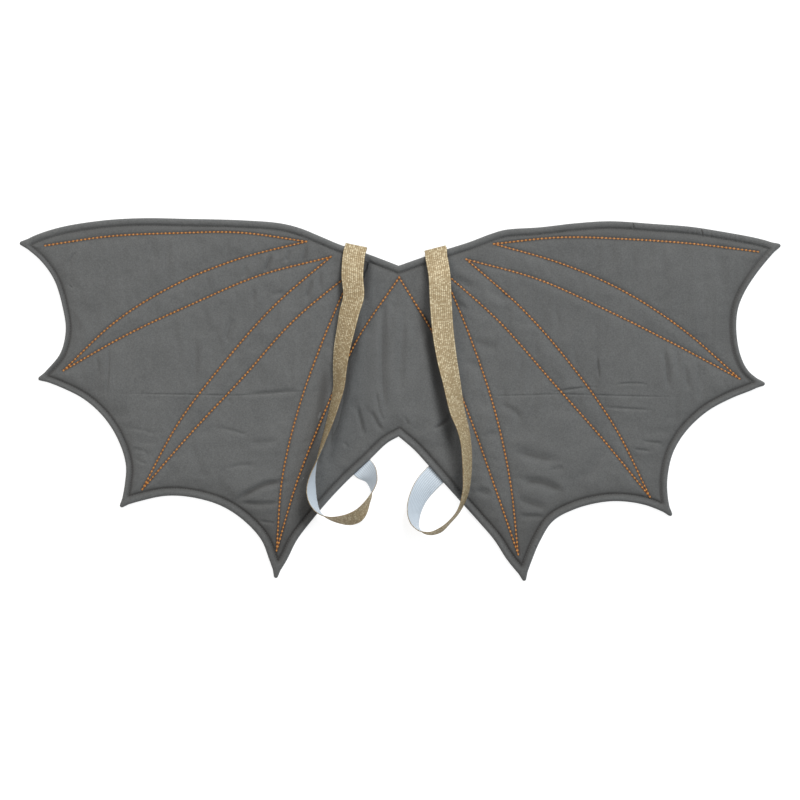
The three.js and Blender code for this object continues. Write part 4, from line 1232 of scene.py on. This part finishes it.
def elastic_face():
    """Gold knitted elastic: columns of small loops, each duller or brighter at random as painted glints, with
    painted shade in the gaps between them.
    """
    finish = Finish("elastic_face", Roughness=0.6, Metallic=0.2, Specular_IOR_Level=0.3)
    webbing = finish.node("ShaderNodeUVMap", uv_map="webbing").outputs["UV"]
    place = finish.node("ShaderNodeSeparateXYZ", {"Vector": webbing}).outputs
    column = finish.sum("MULTIPLY_ADD", place["X"], STRAP_CORDS / STRAP_WIDTH, 0.5)
    aside = finish.sum("ABSOLUTE", finish.sum("SUBTRACT", finish.sum("FRACT", column), 0.5))
    row = finish.sum("ADD", finish.sum("DIVIDE", place["Y"], LOOP_LENGTH), finish.times(aside, 0.8))
    corner = {"X": finish.sum("FLOOR", column), "Y": finish.sum("FLOOR", row)}
    cell = {"Vector": finish.node("ShaderNodeCombineXYZ", corner).outputs["Vector"]}
    # Painted glints: each loop duller or brighter at random
    painted_glint = finish.node("ShaderNodeTexWhiteNoise", cell, noise_dimensions="2D").outputs["Value"]
    colour = finish.ramp(painted_glint, (0.0, GOLD_DULL), (0.55, GOLD), (1.0, GOLD_GLINT))
    # Painted shade in the gaps between columns and rows of loops, which the bump also sinks
    between = finish.sum("POWER", finish.times(aside, 2.0), 2.5)
    start = finish.sum("SUBTRACT", 1.0, finish.times(finish.sum("FRACT", row), 4.0), clamp=True)
    gap = finish.sum("MAXIMUM", between, start)
    colour = finish.mix(finish.times(gap, 0.8), colour, GOLD_GAP_SHADE)
    return finish.finished(colour, finish.bump(finish.sum("SUBTRACT", 1.0, gap), 0.22, 0.6))


def elastic_inside():
    """The elastic's pale inside, with fine ribs along it."""
    finish = Finish("elastic_inside", Roughness=0.6, Sheen_Weight=0.15)
    webbing = finish.node("ShaderNodeUVMap", uv_map="webbing").outputs["UV"]
    yarn = finish.node("ShaderNodeMapping", {"Vector": webbing, "Scale": (1, 0.3, 1)}).outputs["Vector"]
    across = finish.node("ShaderNodeSeparateXYZ", {"Vector": webbing}).outputs["X"]
    along = finish.sum("SINE", finish.times(across, 2 * math.pi * STRAP_CORDS / STRAP_WIDTH))
    tone = finish.sum("ADD", finish.times(finish.noise(yarn, 2.0, 2), 0.5), finish.times(along, 0.25))
    colour = finish.ramp(tone, (0, INSIDE_DARK), (0.5, INSIDE_PALE))
    return finish.finished(colour, finish.bump(tone, 0.25, 0.6))


def floor_finish():
    """A white table that glows a little, so that the wings cast hardly any shadow on it."""
    finish = Finish("floor", Roughness=0.9, Emission_Strength=0.8)
    finish.shader.inputs["Base Color"].default_value = (*FLOOR_GREY, 1)
    finish.shader.inputs["Emission Color"].default_value = (1, 1, 1, 1)
    return finish.material


# The wings

COTTON = cotton()
RIB_THREAD = rib_thread()
RIM_THREAD = rim_thread()
ELASTIC_FACE = elastic_face()
ELASTIC_INSIDE = elastic_inside()


def make_front():
    mesh = panel_mesh(
        "front_cloth",
        front_height,
        rib_rows=(0, -0.8, 0.8, -1.8, 1.8, -3.2, 3.2, -5, 5),
        rim_rows=(0, 0.7, -0.7, 1.6, -1.6, 3, -2.8, 5, -4.2),
        edge_rows=(0.35, 1.0, 1.9, 3.0),
        fold_rows=(0, -0.5, 0.5, -1, 1, -1.6, 1.6, -2.3, 2.3),
        rim_step=1.4,
        seam_step=2,
        open_step=2.6,
        upwards=True,
    )
    front = add_piece(mesh, COTTON)
    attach(front, "root")
    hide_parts("front_panel")


def make_back():
    mesh = panel_mesh(
        "back_cloth",
        back_height,
        rib_rows=(0, -1.5, 1.5, -3, 3),
        rim_rows=(0, 1.5, -1.5, 3),
        edge_rows=(0.35, 1.0, 1.9, 3.0, 4.4),
        fold_rows=(),
        rim_step=3,
        seam_step=3,
        open_step=9,
        upwards=False,
    )
    back = add_piece(mesh, COTTON)
    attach(back, "root")
    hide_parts("back_panel")


def make_straps():
    for name, strap in STRAPS.items():
        mesh = strap_mesh(name.replace("strap", "elastic"), strap)
        loop = add_piece(mesh, ELASTIC_FACE, ELASTIC_INSIDE)
        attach(loop, "root")
        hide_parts(name)


def make_stitching():
    tree = stitching_tree()
    size = {"ribs": RIB_STITCH, "rim": RIM_STITCH}
    fine_ribs = [evenly(rib, 1.5) for rib in ribs]
    fine_rim = [evenly(close(rim_stitch), 1.5)]
    rows = (
        ("rib_stitching", fine_ribs, front_height, 0.35, "ribs", RIB_PITCH, RIB_THREAD, "rib_thread"),
        ("rim_stitching", fine_rim, front_height, 0.1, "rim", RIM_PITCH, RIM_THREAD, "seam_thread"),
        ("rib_stitching_back", fine_ribs, back_height, 0.0, "rim", RIM_PITCH, RIM_THREAD, "seam_thread"),
        ("rim_stitching_back", fine_rim, back_height, 0.0, "rim", RIM_PITCH, RIM_THREAD, "seam_thread"),
    )
    for seed, (name, lines, height, lift, kind, pitch, thread, slot) in enumerate(rows):
        piece = stitched(
            seam_lines(name, lines, height, lift),
            tree,
            pitch=pitch * METRE,
            stitch_size=[side * METRE for side in size[kind]],
            core_radius=CORE_SIZE * size[kind][1] * METRE,
            seed=seed,
            thread=thread,
        )
        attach(piece, "root")


# Floor, light and camera

def make_stage():
    mesh = bpy.data.meshes.new("floor")
    corners = [(FLOOR_REACH * x, FLOOR_REACH * y, 0) for x, y in ((-1, -1), (1, -1), (1, 1), (-1, 1))]
    mesh.from_pydata(corners, [], [(0, 1, 2, 3)])
    floor = add_piece(mesh, floor_finish())
    world = bpy.data.worlds.new("studio")
    world.use_nodes = True
    background = world.node_tree.nodes["Background"]
    background.inputs["Color"].default_value = (*SKY, 1)
    background.inputs["Strength"].default_value = SKY_STRENGTH
    bpy.context.scene.world = world
    for name, (place, size, power, tint) in LAMPS.items():
        lamp = bpy.data.lights.new(name, "AREA")
        lamp.size = size
        lamp.energy = power
        lamp.color = tint
        holder = bpy.data.objects.new(name, lamp)
        holder.location = place
        holder.rotation_euler = Vector(place).to_track_quat("Z", "Y").to_euler()
        bpy.context.scene.collection.objects.link(holder)


def make_camera():
    """Straight above, with the photograph's frame."""
    camera = bpy.data.cameras.new("camera")
    camera.lens = LENS
    holder = bpy.data.objects.new("camera", camera)
    above = PHOTO_SIDE * PIXEL * LENS / camera.sensor_width
    holder.location = np.array([*PHOTO_CENTRE, above + SEAM_HEIGHT]) * METRE
    camera.clip_end = 100
    bpy.context.scene.collection.objects.link(holder)
    bpy.context.scene.camera = holder


make_camera()
make_stage()
settled = settle_front()
make_front()
make_back()
make_straps()
make_stitching()
bpy.context.scene.view_settings.view_transform = "Standard"
